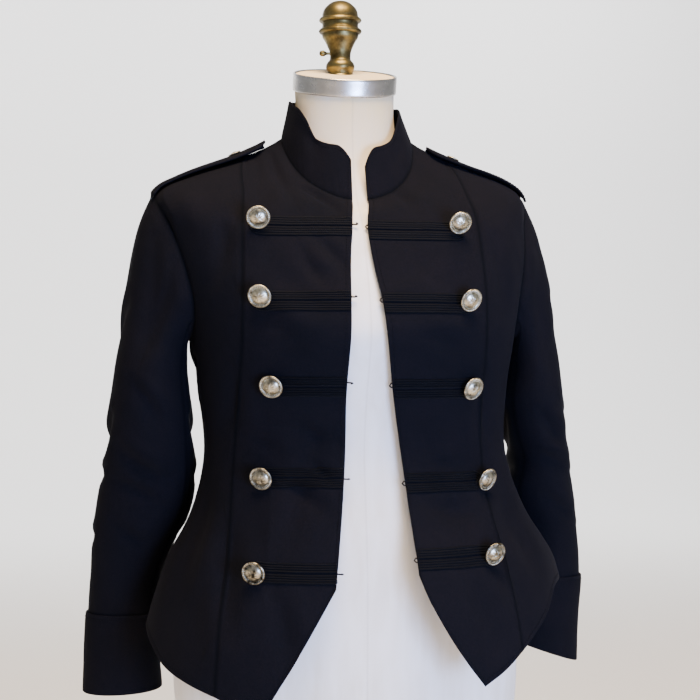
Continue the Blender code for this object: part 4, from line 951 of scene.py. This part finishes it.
def aged_brass(tree, place, form):
    """Turned brass, once lacquered: rubbed gold on the crowns, brown patina in clouds and fine turning
    lines round its axis."""
    clouds = add(tree, NOISE, {"Vector": place, "Scale": 1 / 0.012, "Detail": 5})
    patina = add(tree, RANGE, {"Value": clouds, "From Min": 0.35, "From Max": 0.70})
    metal = add(tree, MIX, {0: patina, 6: rgba(form.brass), 7: rgba(form.brass_dark)}, data_type="RGBA")
    rough = add(tree, RANGE, {"Value": patina, "To Min": 0.34, "To Max": 0.52})
    lathe = add(tree, WAVE, {"Vector": place, "Scale": WAVE_PITCH / THREAD_PITCH, "Distortion": 0.4},
                bands_direction="Z").outputs["Fac"]
    lines = add(tree, BUMP, {"Height": lathe, "Strength": 0.08, "Distance": 0.0001})
    return {"Base Color": metal, "Metallic": 1, "Roughness": rough, "Normal": lines}


def rolled_steel(tree, place, form):
    """Cold-rolled steel strip bent to a ring: grey, with drawn lines along it and dull patches."""
    drawn = add(tree, "ShaderNodeMapping", {"Vector": place, "Scale": (1, 1, 30)})
    lines = add(tree, NOISE, {"Vector": drawn, "Scale": 1 / 0.03, "Detail": 4})
    dull = add(tree, NOISE, {"Vector": place, "Scale": 1 / 0.015, "Detail": 4})
    metal = add(tree, MIX, {0: dull, 6: rgba(form.steel), 7: rgba(DULL_STEEL)}, data_type="RGBA")
    rough = add(tree, RANGE, {"Value": dull, "To Min": 0.20, "To Max": 0.38})
    relief = add(tree, BUMP, {"Height": lines, "Strength": 0.2, "Distance": 0.0002})
    return {"Base Color": metal, "Metallic": 1, "Roughness": rough, "Normal": relief}


def black_enamel(tree, place, form):
    """Stove enamel on cast iron: glossy black over a slightly pebbled casting, with a little dust."""
    settled = add(tree, NOISE, {"Vector": place, "Scale": 1 / 0.02, "Detail": 5})
    dust = add(tree, RANGE, {"Value": settled, "From Min": 0.5, "From Max": 0.9, "To Max": 0.3})
    enamel = add(tree, MIX, {0: dust, 6: rgba(form.enamel), 7: rgba(DUST)}, data_type="RGBA")
    rough = add(tree, RANGE, {"Value": dust, "To Min": 0.32, "To Max": 0.50})
    pebbles = add(tree, NOISE, {"Vector": place, "Scale": 1 / 0.004, "Detail": 3})
    relief = add(tree, BUMP, {"Height": pebbles, "Strength": 0.12, "Distance": 0.0004})
    return {"Base Color": enamel, "Roughness": rough, "Normal": relief}


def japanned_wire(tree, place, trim):
    """Bent steel wire, japanned black, worn to metal in places."""
    rubbing = add(tree, NOISE, {"Vector": place, "Scale": 1 / 0.002, "Detail": 3})
    worn = add(tree, RANGE, {"Value": rubbing, "From Min": 0.55, "From Max": 0.75})
    wire = add(tree, MIX, {0: worn, 6: rgba(trim.hook_metal), 7: rgba(BARE_WIRE)}, data_type="RGBA")
    return {"Base Color": wire, "Metallic": 0.6, "Roughness": 0.4}


def sawn_board(tree, place, form):
    """Sawn pine: straight grain about 12 mm apart, drawn coarser than real, with saw marks along it."""
    grain = add(tree, WAVE, {"Vector": place, "Scale": WAVE_PITCH / GRAIN_PITCH, "Distortion": 6.0,
                             "Detail": 3.0, "Detail Scale": 0.6}, bands_direction="Y").outputs["Fac"]
    wood = add(tree, MIX, {0: grain, 6: rgba(form.board), 7: rgba(PINE_GRAIN)}, data_type="RGBA")
    marks = add(tree, BUMP, {"Height": grain, "Strength": 0.2, "Distance": 0.0004})
    return {"Base Color": wood, "Roughness": 0.75, "Normal": marks}


def seamless_paper(tree, place, stage):
    """Matt background paper, a shade uneven."""
    cloudy = add(tree, NOISE, {"Vector": place, "Scale": 1 / 0.8, "Detail": 3})
    shade = rgba(c * .985 for c in stage.paper)
    paper = add(tree, MIX, {0: cloudy, 6: rgba(stage.paper), 7: shade}, data_type="RGBA")
    return {"Base Color": paper, "Roughness": 0.95, "Specular IOR Level": 0.1}


# Cloth pieces

FREE_EDGES = {
    "front_left": ("end", "low"), "front_right": ("start", "low"),
    "side_front": ("low",), "side_back": ("low",), "back": ("low",),
    "collar": ("start", "end", "high"), "cuff": ("low", "high"), "epaulette": ("start", "end", "high"),
    "upper_sleeve": (), "under_sleeve": (),
}
SHEETS = {}


def free_edges(node):
    """The finished edges of a piece. The others are sewn to a neighbour."""
    plain = node.rsplit("_", 1)[0] if node.endswith(SIDES) else node
    return FREE_EDGES[node] if node in FREE_EDGES else FREE_EDGES[plain]


def make_cloth(node, group, outward, wall, laid=None):
    """Builds one cloth piece and remembers its fine sheet for the trim that lies on it."""
    cloth = bpy.context.scene.jacket_cloth
    free = free_edges(node)
    coarse, sheet = shaped_sheet(node, group, outward, free, cloth)
    if laid:
        sheet = laid(sheet, wall)
    piece = cloth_piece(node + "_cloth", sheet, wall, free, finish_of(melton_wool, cloth))
    hand_over(piece, "cloth", node)
    SHEETS[node] = sheet


class JACKET_OT_body(bpy.types.Operator):
    """Fronts, side panels and backs of the jacket"""
    bl_idname = "jacket.body"
    bl_label = "Body"

    def execute(self, context):
        for side in SIDES:
            for panel in BODY_PANELS:
                make_cloth("%s_%s" % (panel, side), "body", away_from_axis, context.scene.jacket_cloth.wall)
        return {"FINISHED"}


class JACKET_OT_sleeves(bpy.types.Operator):
    """Two-piece sleeves and their turned-up cuffs"""
    bl_idname = "jacket.sleeves"
    bl_label = "Sleeves and Cuffs"

    def execute(self, context):
        for side in SIDES:
            for panel, middle, holder in (("upper_sleeve", "upper_sleeve", "side_front"),
                                          ("under_sleeve", "cuff", "side_front"),
                                          ("cuff", "cuff", "under_sleeve")):
                make_cloth("%s_%s" % (panel, side), "sleeve", away_from_middle("%s_%s" % (middle, side)),
                           context.scene.jacket_cloth.wall)
        return {"FINISHED"}


class JACKET_OT_collar(bpy.types.Operator):
    """Stand collar with rounded front corners"""
    bl_idname = "jacket.collar"
    bl_label = "Collar"

    def execute(self, context):
        make_cloth("collar", "collar", away_from_axis, context.scene.jacket_cloth.collar_wall)
        return {"FINISHED"}


# How a shoulder strap lies down: its clearance, how far it looks below itself and may fall, the share of its
# width from which it is loose, over what share it comes down, and the rows that are smoothed to each side
STRAP_CLEARANCE, STRAP_LOOK, STRAP_FALL = 0.0004, 0.012, 0.0072
LOOSE_FROM, FALL_FROM, FALL_OVER, STRAP_ROWS = 0.3, 0.4, 0.5, 6


def surface_of(piece):
    """A search tree of a finished piece."""
    mesh = bpy.data.objects[piece].data
    return BVHTree.FromPolygons([v.co for v in mesh.vertices], [p.vertices[:] for p in mesh.polygons])


def laid_on_shoulder(side):
    """Lets the strap's rear half down onto the shoulder, as its own weight does."""
    surfaces = [surface_of("%s_%s_cloth" % (panel, side)) for panel in BODY_PANELS]

    def room_below(point):
        hits = [surface.ray_cast(point, Vector((0, 0, -1)), STRAP_LOOK) for surface in surfaces]
        return min([hit[3] for hit in hits if hit[0] is not None], default=STRAP_LOOK)

    def laid(sheet, wall):
        grid = sheet.grid.copy()
        depth = grid[..., 1]
        share = (depth - depth.min(axis=1, keepdims=True)) / np.ptp(depth, axis=1)[:, None]
        hang = np.clip((share - FALL_FROM) / FALL_OVER, 0, 1)
        hang = hang * hang * (3 - 2 * hang)
        fall = np.empty(len(grid))
        for number, row in enumerate(grid):
            rooms = [room_below(Vector(point)) for point in row[share[number] > LOOSE_FROM]]
            fall[number] = max(min(rooms) - wall - STRAP_CLEARANCE, 0)
        padded = np.pad(np.minimum(fall, STRAP_FALL), STRAP_ROWS, mode="edge")
        window = 2 * STRAP_ROWS + 1
        grid[..., 2] -= hang * np.convolve(padded, np.full(window, 1 / window), "valid")[:, None]
        return sheet._replace(grid=grid, normals=grid_normals(grid, False))

    return laid


class JACKET_OT_epaulettes(bpy.types.Operator):
    """Shoulder straps"""
    bl_idname = "jacket.epaulettes"
    bl_label = "Epaulettes"

    def execute(self, context):
        for side in SIDES:
            make_cloth("epaulette_" + side, "strap", upwards, context.scene.jacket_cloth.strap_wall,
                       laid_on_shoulder(side))
        return {"FINISHED"}


# Topstitching: pieces, its distance from their edges, and which edges where it leaves out a free one
STITCHED = (("collar", 0.0050, None), ("epaulette", 0.0040, ("start", "end")), ("cuff", 0.0060, ("high",)),
            *((panel, 0.0060, None) for panel in BODY_PANELS))
STITCH_THICKNESS, STITCH_SHARE, STITCH_LIFT = 0.0007, 0.72, 0.2


def line_beside_edge(sheet, edge, distance, lift):
    """Points of a line at a distance from one edge of a sheet, lifted a little off it."""
    raised = sheet.grid + lift * sheet.normals
    gaps = sheet.distances[edge]
    if edge in ("low", "high"):
        raised, gaps = raised.transpose(1, 0, 2), gaps.T
    if edge in ("high", "end"):
        raised, gaps = raised[:, ::-1], gaps[:, ::-1]
    return np.array([[np.interp(distance, gap, line[:, axis]) for axis in range(3)]
                     for gap, line in zip(gaps, raised)])


class JACKET_OT_topstitching(bpy.types.Operator):
    """Rows of stitches beside the finished edges"""
    bl_idname = "jacket.topstitching"
    bl_label = "Topstitching"

    def execute(self, context):
        cloth = context.scene.jacket_cloth
        points, edges = [], []
        for panel, distance, chosen in STITCHED:
            for node in [panel] if panel == "collar" else ["%s_%s" % (panel, side) for side in SIDES]:
                for edge in chosen or free_edges(node):
                    run = line_beside_edge(SHEETS[node], edge, distance, STITCH_THICKNESS * STITCH_LIFT)
                    run = run if SHEETS[node].is_tube else run[2:-2]
                    first = len(points)
                    points += [tuple(p) for p in run]
                    edges += [(first + number, first + number + 1) for number in range(len(run) - 1)]
        thread = finish_of(sewing_thread, cloth)
        mesh = bpy.data.meshes.new("topstitching")
        mesh.from_pydata(points, edges, [])
        mesh.materials.append(thread)
        piece = linked("topstitching", mesh)
        grown(piece, stitch_tree(), pitch=cloth.stitch_pitch, length=cloth.stitch_pitch * STITCH_SHARE,
              thickness=STITCH_THICKNESS, material=thread)
        hand_over(piece, "braid")
        return {"FINISHED"}


# Braid

# Points along it for each of its own and across it, how far its bed lies off the cloth, the share of its
# height that its hollows have, and how round its cords are
BRAID_STEPS_ALONG, BRAID_STEPS_ACROSS, BRAID_BED = 7, 20, 0.0003
HOLLOW_SHARE, CORD_ROUNDNESS = 0.35, 0.6


def braid_piece(node, under, trim):
    """Braid laid on the finished cloth: cords side by side that follow its loop."""
    strip, _ = wall_grid(node, away_from_axis)
    if strip.shape[0] == 2:
        strip = strip.transpose(1, 0, 2)
    strip = finer(strip, np.arange((len(strip) - 1) * BRAID_STEPS_ALONG + 1) / BRAID_STEPS_ALONG)
    lengths = np.linalg.norm(np.diff(strip.mean(axis=1), axis=0), axis=-1)
    along = np.concatenate(([0], np.cumsum(lengths)))
    width = float(np.linalg.norm(strip[:, 0] - strip[:, 1], axis=-1).mean())
    shares = np.linspace(0, 1, BRAID_STEPS_ACROSS + 1)
    crowns = np.abs(np.sin(np.pi * trim.cords * shares)) ** CORD_ROUNDNESS
    top, bed, uvs = [], [], []
    for number, (start, end) in enumerate(strip):
        for share, crown in zip(shares, crowns):
            place, normal, _, _ = under.find_nearest(Vector(start + (end - start) * share))
            height = trim.braid_thickness * (HOLLOW_SHARE + (1 - HOLLOW_SHARE) * crown)
            top.append(place + normal * (BRAID_BED + height))
            bed.append(place + normal * BRAID_BED)
            uvs.append((share * width, along[number]))
    # The crown attribute tells the braid's material where to paint its highlight.
    crown_all = np.tile(crowns, len(strip))
    piece = new_mesh_object(node + "_cords", top + bed, shell_faces(len(strip), len(shares), False),
                            finish_of(mohair_braid, trim), uvs + uvs,
                            {"crown": np.concatenate((crown_all, crown_all * 0))})
    face_outwards(piece.data)
    return piece


class JACKET_OT_braid(bpy.types.Operator):
    """Rows of looped braid from each front edge to its button"""
    bl_idname = "jacket.braid"
    bl_label = "Braid"

    def execute(self, context):
        for side in SIDES:
            under = surface_of("front_%s_cloth" % side)
            for row in ROWS:
                node = "braid_%s_%d" % (side, row)
                hand_over(braid_piece(node, under, context.scene.jacket_trim), "braid", node)
        return {"FINISHED"}


# Buttons

# Sizes on a button are shares of its own radius. The sections run as (radius, height) from the end of the
# thread shank to the crown, and a small button has no shank.
SHANK_REACH = .40
LONG_SHANK, SHORT_SHANK = ((0, -SHANK_REACH), (.16, -SHANK_REACH), (.18, -.06)), ((0, 0),)
BUTTON_SECTION = (
    (.26, 0), (.26, .23), (.60, .23), (.92, .26), (.985, .30), (1.0, .345), (.985, .39), (.93, .42),
    (.80, .40), (.755, .365), (.72, .37), (.67, .43), (.58, .50), (.44, .565), (.30, .600), (.15, .622),
    (0, .630),
)
BUTTON_HEIGHT_SHARE = .0084 / .0130
BUTTON_SEGMENTS = 96
# Rings of grains: radius, height, and a grain's length and thickness as shares of the room that it has
GrainRing = namedtuple("GrainRing", "radius height length thickness twist")
ROPE = GrainRing(.885, .425, 1.75, .80, math.radians(38))
BEADS = GrainRing(.735, .385, .70, .70, 0.0)
# The hollow between the rings, and the crown's rosette
HOLLOW_RADIUS, HOLLOW_WIDTH = .75, .045
CROWN_HEIGHT, BACK_HEIGHT = .4, .28
PETALS, PETAL_REACH, PETAL_HEIGHT, CENTRE_RADIUS, CENTRE_SHARE = 8, .46, .034, .10, 1.2
PETAL_FULLNESS, PETAL_SWELL, RING_TARNISH, GAP_TARNISH = 0.6, 0.8, 0.9, 0.7


def rosette(points, radius):
    """Raises a plain eight-petalled rosette on the crown, and says how hollow each point lies."""
    across = np.hypot(points[:, 0], points[:, 1]) / radius
    turn = np.arctan2(points[:, 1], points[:, 0])
    on_crown = (across < PETAL_REACH) & (points[:, 2] > CROWN_HEIGHT * radius)
    petal = np.abs(np.cos(PETALS / 2 * turn)) ** PETAL_FULLNESS
    swell = np.sin(np.pi * np.clip(across / PETAL_REACH, 0, 1)) ** PETAL_SWELL
    centre = np.exp(-(across / CENTRE_RADIUS) ** 2)
    points[:, 2] += radius * np.where(on_crown, PETAL_HEIGHT * (petal * swell + CENTRE_SHARE * centre), 0)
    ring = np.exp(-((across - HOLLOW_RADIUS) / HOLLOW_WIDTH) ** 2)
    between = np.where(on_crown, (1 - petal) * swell, 0)
    # The whole back, which faces the cloth, counts as hollow as well.
    behind = points[:, 2] < BACK_HEIGHT * radius
    return np.clip(RING_TARNISH * ring + GAP_TARNISH * between + behind, 0, 1)


def button_mesh(radius, shank, tree, trim):
    """One finished button at the origin, facing up."""
    section = smooth_profile([(r * radius, h * radius) for r, h in shank + BUTTON_SECTION], 2)
    points, faces = turned_mesh(section, BUTTON_SEGMENTS)
    hollow = rosette(points, radius)
    silver = finish_of(plated_silver, trim)
    piece = new_mesh_object("button_master", points, faces, silver, None, {"hollow": hollow})
    for ring, count in ((ROPE, trim.strands), (BEADS, trim.beads)):
        room = 2 * math.pi * ring.radius * radius / count
        grown(piece, tree, radius=ring.radius * radius, height=ring.height * radius, count=count,
              length=room * ring.length, thickness=room * ring.thickness, twist=ring.twist, material=silver)
    mesh = piece.data
    bpy.data.objects.remove(piece)
    return mesh


# How far each large button has sunk forward on its shank, in radians from level, from the top row down
BUTTON_DROOPS = {
    "button_%s_%d" % (side, row): droop
    for side, droops in (("left", (.40, .38, .42, .36, .30)), ("right", (.46, .42, .40, .36, .30)))
    for row, droop in zip(ROWS, droops)
}
BUTTON_CLEARANCE, SMALL_BUTTON_SINK, SHANK_SINK = 0.0007, 0.0022, 0.0008
RIM_HEIGHT, RIM_SAMPLES, RIM_REACH = .30, 24, 0.030


def stand_off(place, radius, out, surfaces):
    """How far a drooping button moves out for its rim to clear the cloth and the braid."""
    need = -RIM_REACH
    for number in range(RIM_SAMPLES):
        turn = 2 * math.pi * number / RIM_SAMPLES
        rim = place @ Vector((math.cos(turn) * radius, math.sin(turn) * radius, radius * RIM_HEIGHT))
        for surface in surfaces:
            _, _, _, distance = surface.ray_cast(rim + out * RIM_REACH, -out, 2 * RIM_REACH)
            if distance is not None:
                need = max(need, RIM_REACH - distance)
    return max(need + BUTTON_CLEARANCE, 0)


def hung_button(node, mesh, radius):
    """Where a large button hangs, drooping. Its thread shank leans back, so that it ends in the cloth."""
    foot, axis, _ = disc_place(node, (0, -1, 0))
    droop = BUTTON_DROOPS[node]
    facing = Vector((axis.x, axis.y, 0)).normalized() * math.cos(droop) - Vector((0, 0, math.sin(droop)))
    _, side, _ = node.split("_")
    surfaces = [surface_of(piece) for piece in ("front_%s_cloth" % side, "side_front_%s_cloth" % side,
                                                node.replace("button", "braid") + "_cords")]
    out = stand_off(standing(foot, facing), radius, axis, surfaces)
    place = standing(foot + axis * out, facing)
    end = place.inverted() @ (foot - axis * SHANK_SINK)
    for vertex in mesh.vertices:
        share = -vertex.co.z / (SHANK_REACH * radius)
        if share > 0:
            vertex.co = Vector((vertex.co.x, vertex.co.y, 0)) + share * end
    return place


def sunk_button(node):
    """Where a small button sits, sewn down tight on its shoulder strap."""
    foot, _, _ = disc_place(node, (0, 0, 1))
    foot, axis, _, _ = surface_of(node.replace("button_", "") + "_cloth").find_nearest(foot)
    return standing(foot - axis * SMALL_BUTTON_SINK, axis)


class JACKET_OT_buttons(bpy.types.Operator):
    """Domed silver buttons with a rope rim, a ring of beads and a plain rosette"""
    bl_idname = "jacket.buttons"
    bl_label = "Buttons"

    def execute(self, context):
        tree = ring_tree()
        small = ["epaulette_button_" + side for side in SIDES]
        for nodes, outward, shank in ((list(BUTTON_DROOPS), (0, -1, 0), LONG_SHANK),
                                      (small, (0, 0, 1), SHORT_SHANK)):
            radius = disc_place(nodes[0], outward)[2] / BUTTON_HEIGHT_SHARE
            master = button_mesh(radius, shank, tree, context.scene.jacket_trim)
            for node in nodes:
                mesh = master.copy()
                large = node in BUTTON_DROOPS
                mesh.transform(hung_button(node, mesh, radius) if large else sunk_button(node))
                hand_over(linked(node + "_struck", mesh), "silver", node)
        return {"FINISHED"}


# The thread wound on the wire of a hook or eye
WIRE_SWELL = 0.00035


class JACKET_OT_fastenings(bpy.types.Operator):
    """Hooks and eyes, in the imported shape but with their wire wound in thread"""
    bl_idname = "jacket.fastenings"
    bl_label = "Hooks and Eyes"

    def execute(self, context):
        for node in ["%s_%d" % (kind, row) for row in ROWS for kind in ("hook", "eye")]:
            work = merged(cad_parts[node].data)
            work.normal_update()
            for vertex in work.verts:
                vertex.co += vertex.normal * WIRE_SWELL
            mesh = bpy.data.meshes.new(node + "_wire")
            work.to_mesh(mesh)
            work.free()
            finish_mesh(mesh, finish_of(japanned_wire, context.scene.jacket_trim))
            hand_over(linked(node + "_wire", mesh), "black_metal", node)
        return {"FINISHED"}


# Dress form

FORM_STEPS = 4
LINEN_EDGE, BAND_WALL, BAND_EDGE, BAND_BEND = .0018, .0019, .0006, .0005


def capped(name, grid, material):
    """A closed body from a tube of points, with a flat cap at each end."""
    rows, columns = grid.shape[:2]
    faces = shell_faces(rows, columns, True)[:(rows - 1) * columns]
    faces.append(tuple(range(columns))[::-1])
    faces.append(tuple((rows - 1) * columns + column for column in range(columns)))
    return new_mesh_object(name, grid.reshape(-1, 3), faces, material)


def turned_piece(name, section, segments, place, material, slot, node, closed=False):
    """A turned piece set at its place. A closed section runs back to its own start, as a ring's does."""
    points, faces = turned_mesh(smooth_profile(section, 3), segments)
    piece = new_mesh_object(name, points, faces, material)
    if closed:
        face_outwards(piece.data, merge=True)
    piece.data.transform(place)
    return hand_over(piece, slot, node)


def half_width(node):
    low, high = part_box(node)
    return (high.x - low.x) / 2


class JACKET_OT_dress_form(bpy.types.Operator):
    """Linen-covered form, its neck block in a steel band, and the board under it"""
    bl_idname = "jacket.dress_form"
    bl_label = "Dress Form"

    def execute(self, context):
        form = context.scene.jacket_form
        linen = finish_of(form_linen, form)
        coarse, is_tube = wall_grid("form_torso", away_from_axis)
        cover = capped("form_cover", finer_grid(coarse, is_tube, FORM_STEPS, close_ends=False), linen)
        hand_over(cover, "linen", "form_torso")

        foot, axis, tall = disc_place("neck_block", (0, 0, 1))
        radius = half_width("neck_block")
        turned_piece("neck_cap", (
            (0, 0), (radius - .001, 0), (radius, .001), (radius, tall - .0016),
            (radius - .0006, tall - .0005), (radius - LINEN_EDGE, tall), (radius * .5, tall), (0, tall),
        ), 128, standing(foot, axis), linen, "linen", "neck_block")

        foot, axis, tall = disc_place("neck_band", (0, 0, 1))
        outside = half_width("neck_band")
        inside = outside - BAND_WALL
        turned_piece("neck_ring", (
            (inside, .0004), (inside + BAND_BEND, 0), (outside - BAND_EDGE, 0), (outside, BAND_EDGE),
            (outside, tall * .5), (outside, tall - BAND_EDGE), (outside - BAND_EDGE, tall),
            (inside + BAND_BEND, tall), (inside, tall - .0004), (inside, .0004),
        ), 128, standing(foot, axis), finish_of(rolled_steel, form), "steel", "neck_band", closed=True)

        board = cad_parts["form_board"].data
        board.materials.clear()
        board.materials.append(finish_of(sawn_board, form))
        return {"FINISHED"}


# The finial's section, as depths below its top and radii: its crown, three rings, neck and foot
FINIAL_SECTION = (
    (.0000, .0000), (.0004, .0028), (.0019, .0084), (.0058, .0140), (.0102, .0177), (.0160, .0196),
    (.0200, .0199), (.0207, .0222), (.0230, .0236), (.0252, .0222), (.0260, .0200), (.0300, .0198),
    (.0330, .0206), (.0337, .0226), (.0358, .0238), (.0380, .0226), (.0388, .0204), (.0430, .0196),
    (.0473, .0170), (.0531, .0143), (.0590, .0121), (.0660, .0114), (.0688, .0117), (.0705, .0130),
    (.0730, .0148), (.0762, .0158), (.0796, .0154), (.0822, .0140), (.0960, .0138), (.0960, .0000),
)
FINIAL_SWELL, FINIAL_RISE, FINIAL_SEAT = 1.05, 0.002, 0.0004
# The thumb screw's section, as radii and distances from its thread's end
SCREW_SECTION = (
    (0, -.0030), (.0016, -.0030), (.0016, .0066), (.0020, .0073), (.0028, .0086), (.0034, .0104),
    (.0034, .0118), (.0029, .0134), (.0018, .0146), (0, .0150),
)
SCREW_SHIFT = Vector((0.0030, 0, 0.0042))


class JACKET_OT_finial(bpy.types.Operator):
    """Turned brass finial and its thumb screw"""
    bl_idname = "jacket.finial"
    bl_label = "Finial"

    def execute(self, context):
        brass = finish_of(aged_brass, context.scene.jacket_form)
        low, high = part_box("finial")
        centre = Vector(((low.x + high.x) / 2, (low.y + high.y) / 2, 0))
        section = [(radius * FINIAL_SWELL, high.z + FINIAL_RISE - depth)
                   for depth, radius in reversed(FINIAL_SECTION)]
        finial = turned_piece("turned_finial", section, 96, Matrix.Translation(centre), brass, "brass",
                              "finial")
        foot, axis, tall = disc_place("neck_block", (0, 0, 1))
        seat = foot + axis * (tall + FINIAL_SEAT)
        for vertex in finial.data.vertices:
            floor = seat.z - (axis.x * (vertex.co.x - seat.x) + axis.y * (vertex.co.y - seat.y)) / axis.z
            vertex.co.z = max(vertex.co.z, floor)
        low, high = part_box("thumb_screw")
        axis = Vector((-1, 0, 0))
        foot = (low + high) / 2 - axis * (high.x - low.x) / 2 + SCREW_SHIFT
        turned_piece("turned_screw", SCREW_SECTION, 40, standing(foot, axis), brass, "brass", "thumb_screw")
        return {"FINISHED"}


POLE_RADIUS = 0.017


class JACKET_OT_stand(bpy.types.Operator):
    """Enamelled cast disc and pole"""
    bl_idname = "jacket.stand"
    bl_label = "Stand"

    def execute(self, context):
        enamel = finish_of(black_enamel, context.scene.jacket_form)
        low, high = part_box("stand_base")
        radius, thick = half_width("stand_base"), high.z - low.z
        turned_piece("cast_disc", (
            (0, 0), (radius - .0015, 0), (radius, .0012), (radius, thick * .40),
            (radius - .0015, thick * .62), (radius - .006, thick * .86), (radius - .014, thick * .97),
            (radius - .030, thick * .985), (radius * .42, thick), (radius * .30, thick), (0, thick),
        ), 160, Matrix.Identity(4), enamel, "black_metal", "stand_base")
        low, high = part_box("stand_pole")
        wide, tall, pole = half_width("stand_pole"), high.z - low.z, POLE_RADIUS
        turned_piece("cast_pole", (
            (0, 0), (pole + .0138, 0), (pole + .0135, .0020), (pole + .0090, .0070), (pole + .0040, .0125),
            (pole + .0004, .0165), (pole, .0220), (pole, tall - .0150), (pole + .0010, tall - .0130),
            (pole + .0040, tall - .0112), (wide - .0040, tall - .0070), (wide - .0006, tall - .0050),
            (wide - .0003, tall - .0012), (wide - .0014, tall), (0, tall),
        ), 96, Matrix.Translation((0, 0, low.z)), enamel, "black_metal", "stand_pole")
        return {"FINISHED"}


# Stage

FLOOR_FRONT, FLOOR_BACK, SWEEP_RADIUS, WALL_TOP, STAGE_HALF_WIDTH, SWEEP_STEPS = -5.0, 5.2, 1.4, 5.0, 6.0, 24
ROOM_COLOUR, ROOM_STRENGTH = "#F4F5F8", 0.40
CAMERA_AIM_Y = -0.03


def paper_sweep(stage):
    """Seamless paper: a floor that curves up into the background."""
    line = [(FLOOR_FRONT, 0), (0, 0), (FLOOR_BACK - SWEEP_RADIUS, 0)]
    for number in range(1, SWEEP_STEPS + 1):
        turn = math.pi / 2 * number / SWEEP_STEPS
        line.append((FLOOR_BACK - SWEEP_RADIUS + SWEEP_RADIUS * math.sin(turn),
                     SWEEP_RADIUS - SWEEP_RADIUS * math.cos(turn)))
    line.append((FLOOR_BACK, WALL_TOP))
    points = [(x, y, z) for y, z in line for x in (-STAGE_HALF_WIDTH, STAGE_HALF_WIDTH)]
    faces = [(2 * n, 2 * n + 1, 2 * n + 3, 2 * n + 2) for n in range(len(line) - 1)]
    new_mesh_object("paper_sweep", points, faces, finish_of(seamless_paper, stage))


def aimed(name, data, place, direction):
    """Puts a light or the camera at its place, looking in a direction."""
    holder = bpy.data.objects.new(name, data)
    holder.location = place
    holder.rotation_mode = "QUATERNION"
    holder.rotation_quaternion = direction.to_track_quat("-Z", "Y")
    bpy.context.scene.collection.objects.link(holder)
    return holder


SoftLight = namedtuple("SoftLight", "name place aim size hex_colour power")
SOFT_LIGHTS = (
    SoftLight("key_light", (0.05, -0.70, 2.40), (0, 0, .65), 1.1, "#FFDDB6", "key_power"),
    SoftLight("fill_light", (0.65, -2.1, 0.25), (0, 0, .40), 0.9, "#A2BFFF", "fill_power"),
    SoftLight("paper_light_left", (-1.6, 3.1, 2.9), (-.4, 5.2, .9), 1.2, "#FFFFFF", "paper_power"),
    SoftLight("paper_light_right", (1.6, 3.1, 2.9), (1.3, 5.2, .9), 1.2, "#FFFFFF", "paper_power"),
)


class JACKET_OT_stage(bpy.types.Operator):
    """Pale paper, soft light and the camera"""
    bl_idname = "jacket.stage"
    bl_label = "Stage"

    def execute(self, context):
        stage = context.scene.jacket_stage
        paper_sweep(stage)
        for light in SOFT_LIGHTS:
            lamp = bpy.data.lights.new(light.name, "AREA")
            lamp.shape = "DISK"
            lamp.size = light.size
            lamp.energy = getattr(stage, light.power)
            lamp.color = linear(light.hex_colour)
            aimed(light.name, lamp, light.place, Vector(light.aim) - Vector(light.place))
        world = bpy.data.worlds.new("soft_room")
        world.use_nodes = True
        room = world.node_tree.nodes["Background"]
        room.inputs["Color"].default_value = rgba(linear(ROOM_COLOUR))
        room.inputs["Strength"].default_value = ROOM_STRENGTH
        context.scene.world = world

        camera = bpy.data.cameras.new("camera")
        camera.sensor_width = 36
        camera.lens = camera.sensor_width * stage.camera_distance / stage.view_width
        middle = Vector((0, CAMERA_AIM_Y, stage.camera_height))
        away = Vector((-math.sin(stage.camera_turn), -math.cos(stage.camera_turn), 0))
        context.scene.camera = aimed("camera", camera, middle + away * stage.camera_distance, -away)
        return {"FINISHED"}


class JACKET_PT_pieces(bpy.types.Panel):
    """Lists the jacket's pieces"""
    bl_idname = "JACKET_PT_pieces"
    bl_label = "Jacket"
    bl_space_type = "VIEW_3D"
    bl_region_type = "UI"
    bl_category = "Jacket"

    def draw(self, context):
        for operator in OPERATORS:
            self.layout.operator(operator.bl_idname)
        for group in SETTINGS:
            box = self.layout.box()
            settings = getattr(context.scene, group)
            for name in settings.bl_rna.properties.keys():
                if name not in ("rna_type", "name"):
                    box.prop(settings, name)


SETTINGS = {"jacket_cloth": JacketClothSettings, "jacket_trim": JacketTrimSettings,
            "jacket_form": JacketFormSettings, "jacket_stage": JacketStageSettings}
OPERATORS = (JACKET_OT_stage, JACKET_OT_dress_form, JACKET_OT_body, JACKET_OT_sleeves, JACKET_OT_collar,
             JACKET_OT_epaulettes, JACKET_OT_topstitching, JACKET_OT_braid, JACKET_OT_buttons,
             JACKET_OT_fastenings, JACKET_OT_finial, JACKET_OT_stand)


def register():
    for settings in SETTINGS.values():
        bpy.utils.register_class(settings)
    for name, settings in SETTINGS.items():
        setattr(bpy.types.Scene, name, PointerProperty(type=settings))
    for operator in OPERATORS:
        bpy.utils.register_class(operator)
    bpy.utils.register_class(JACKET_PT_pieces)


def unregister():
    bpy.utils.unregister_class(JACKET_PT_pieces)
    for operator in reversed(OPERATORS):
        bpy.utils.unregister_class(operator)
    for name in SETTINGS:
        delattr(bpy.types.Scene, name)
    for settings in reversed(SETTINGS.values()):
        bpy.utils.unregister_class(settings)


def main():
    register()
    for operator in OPERATORS:
        group, name = operator.bl_idname.split(".")
        getattr(getattr(bpy.ops, group), name)()


if __name__ == "__main__":
    main()
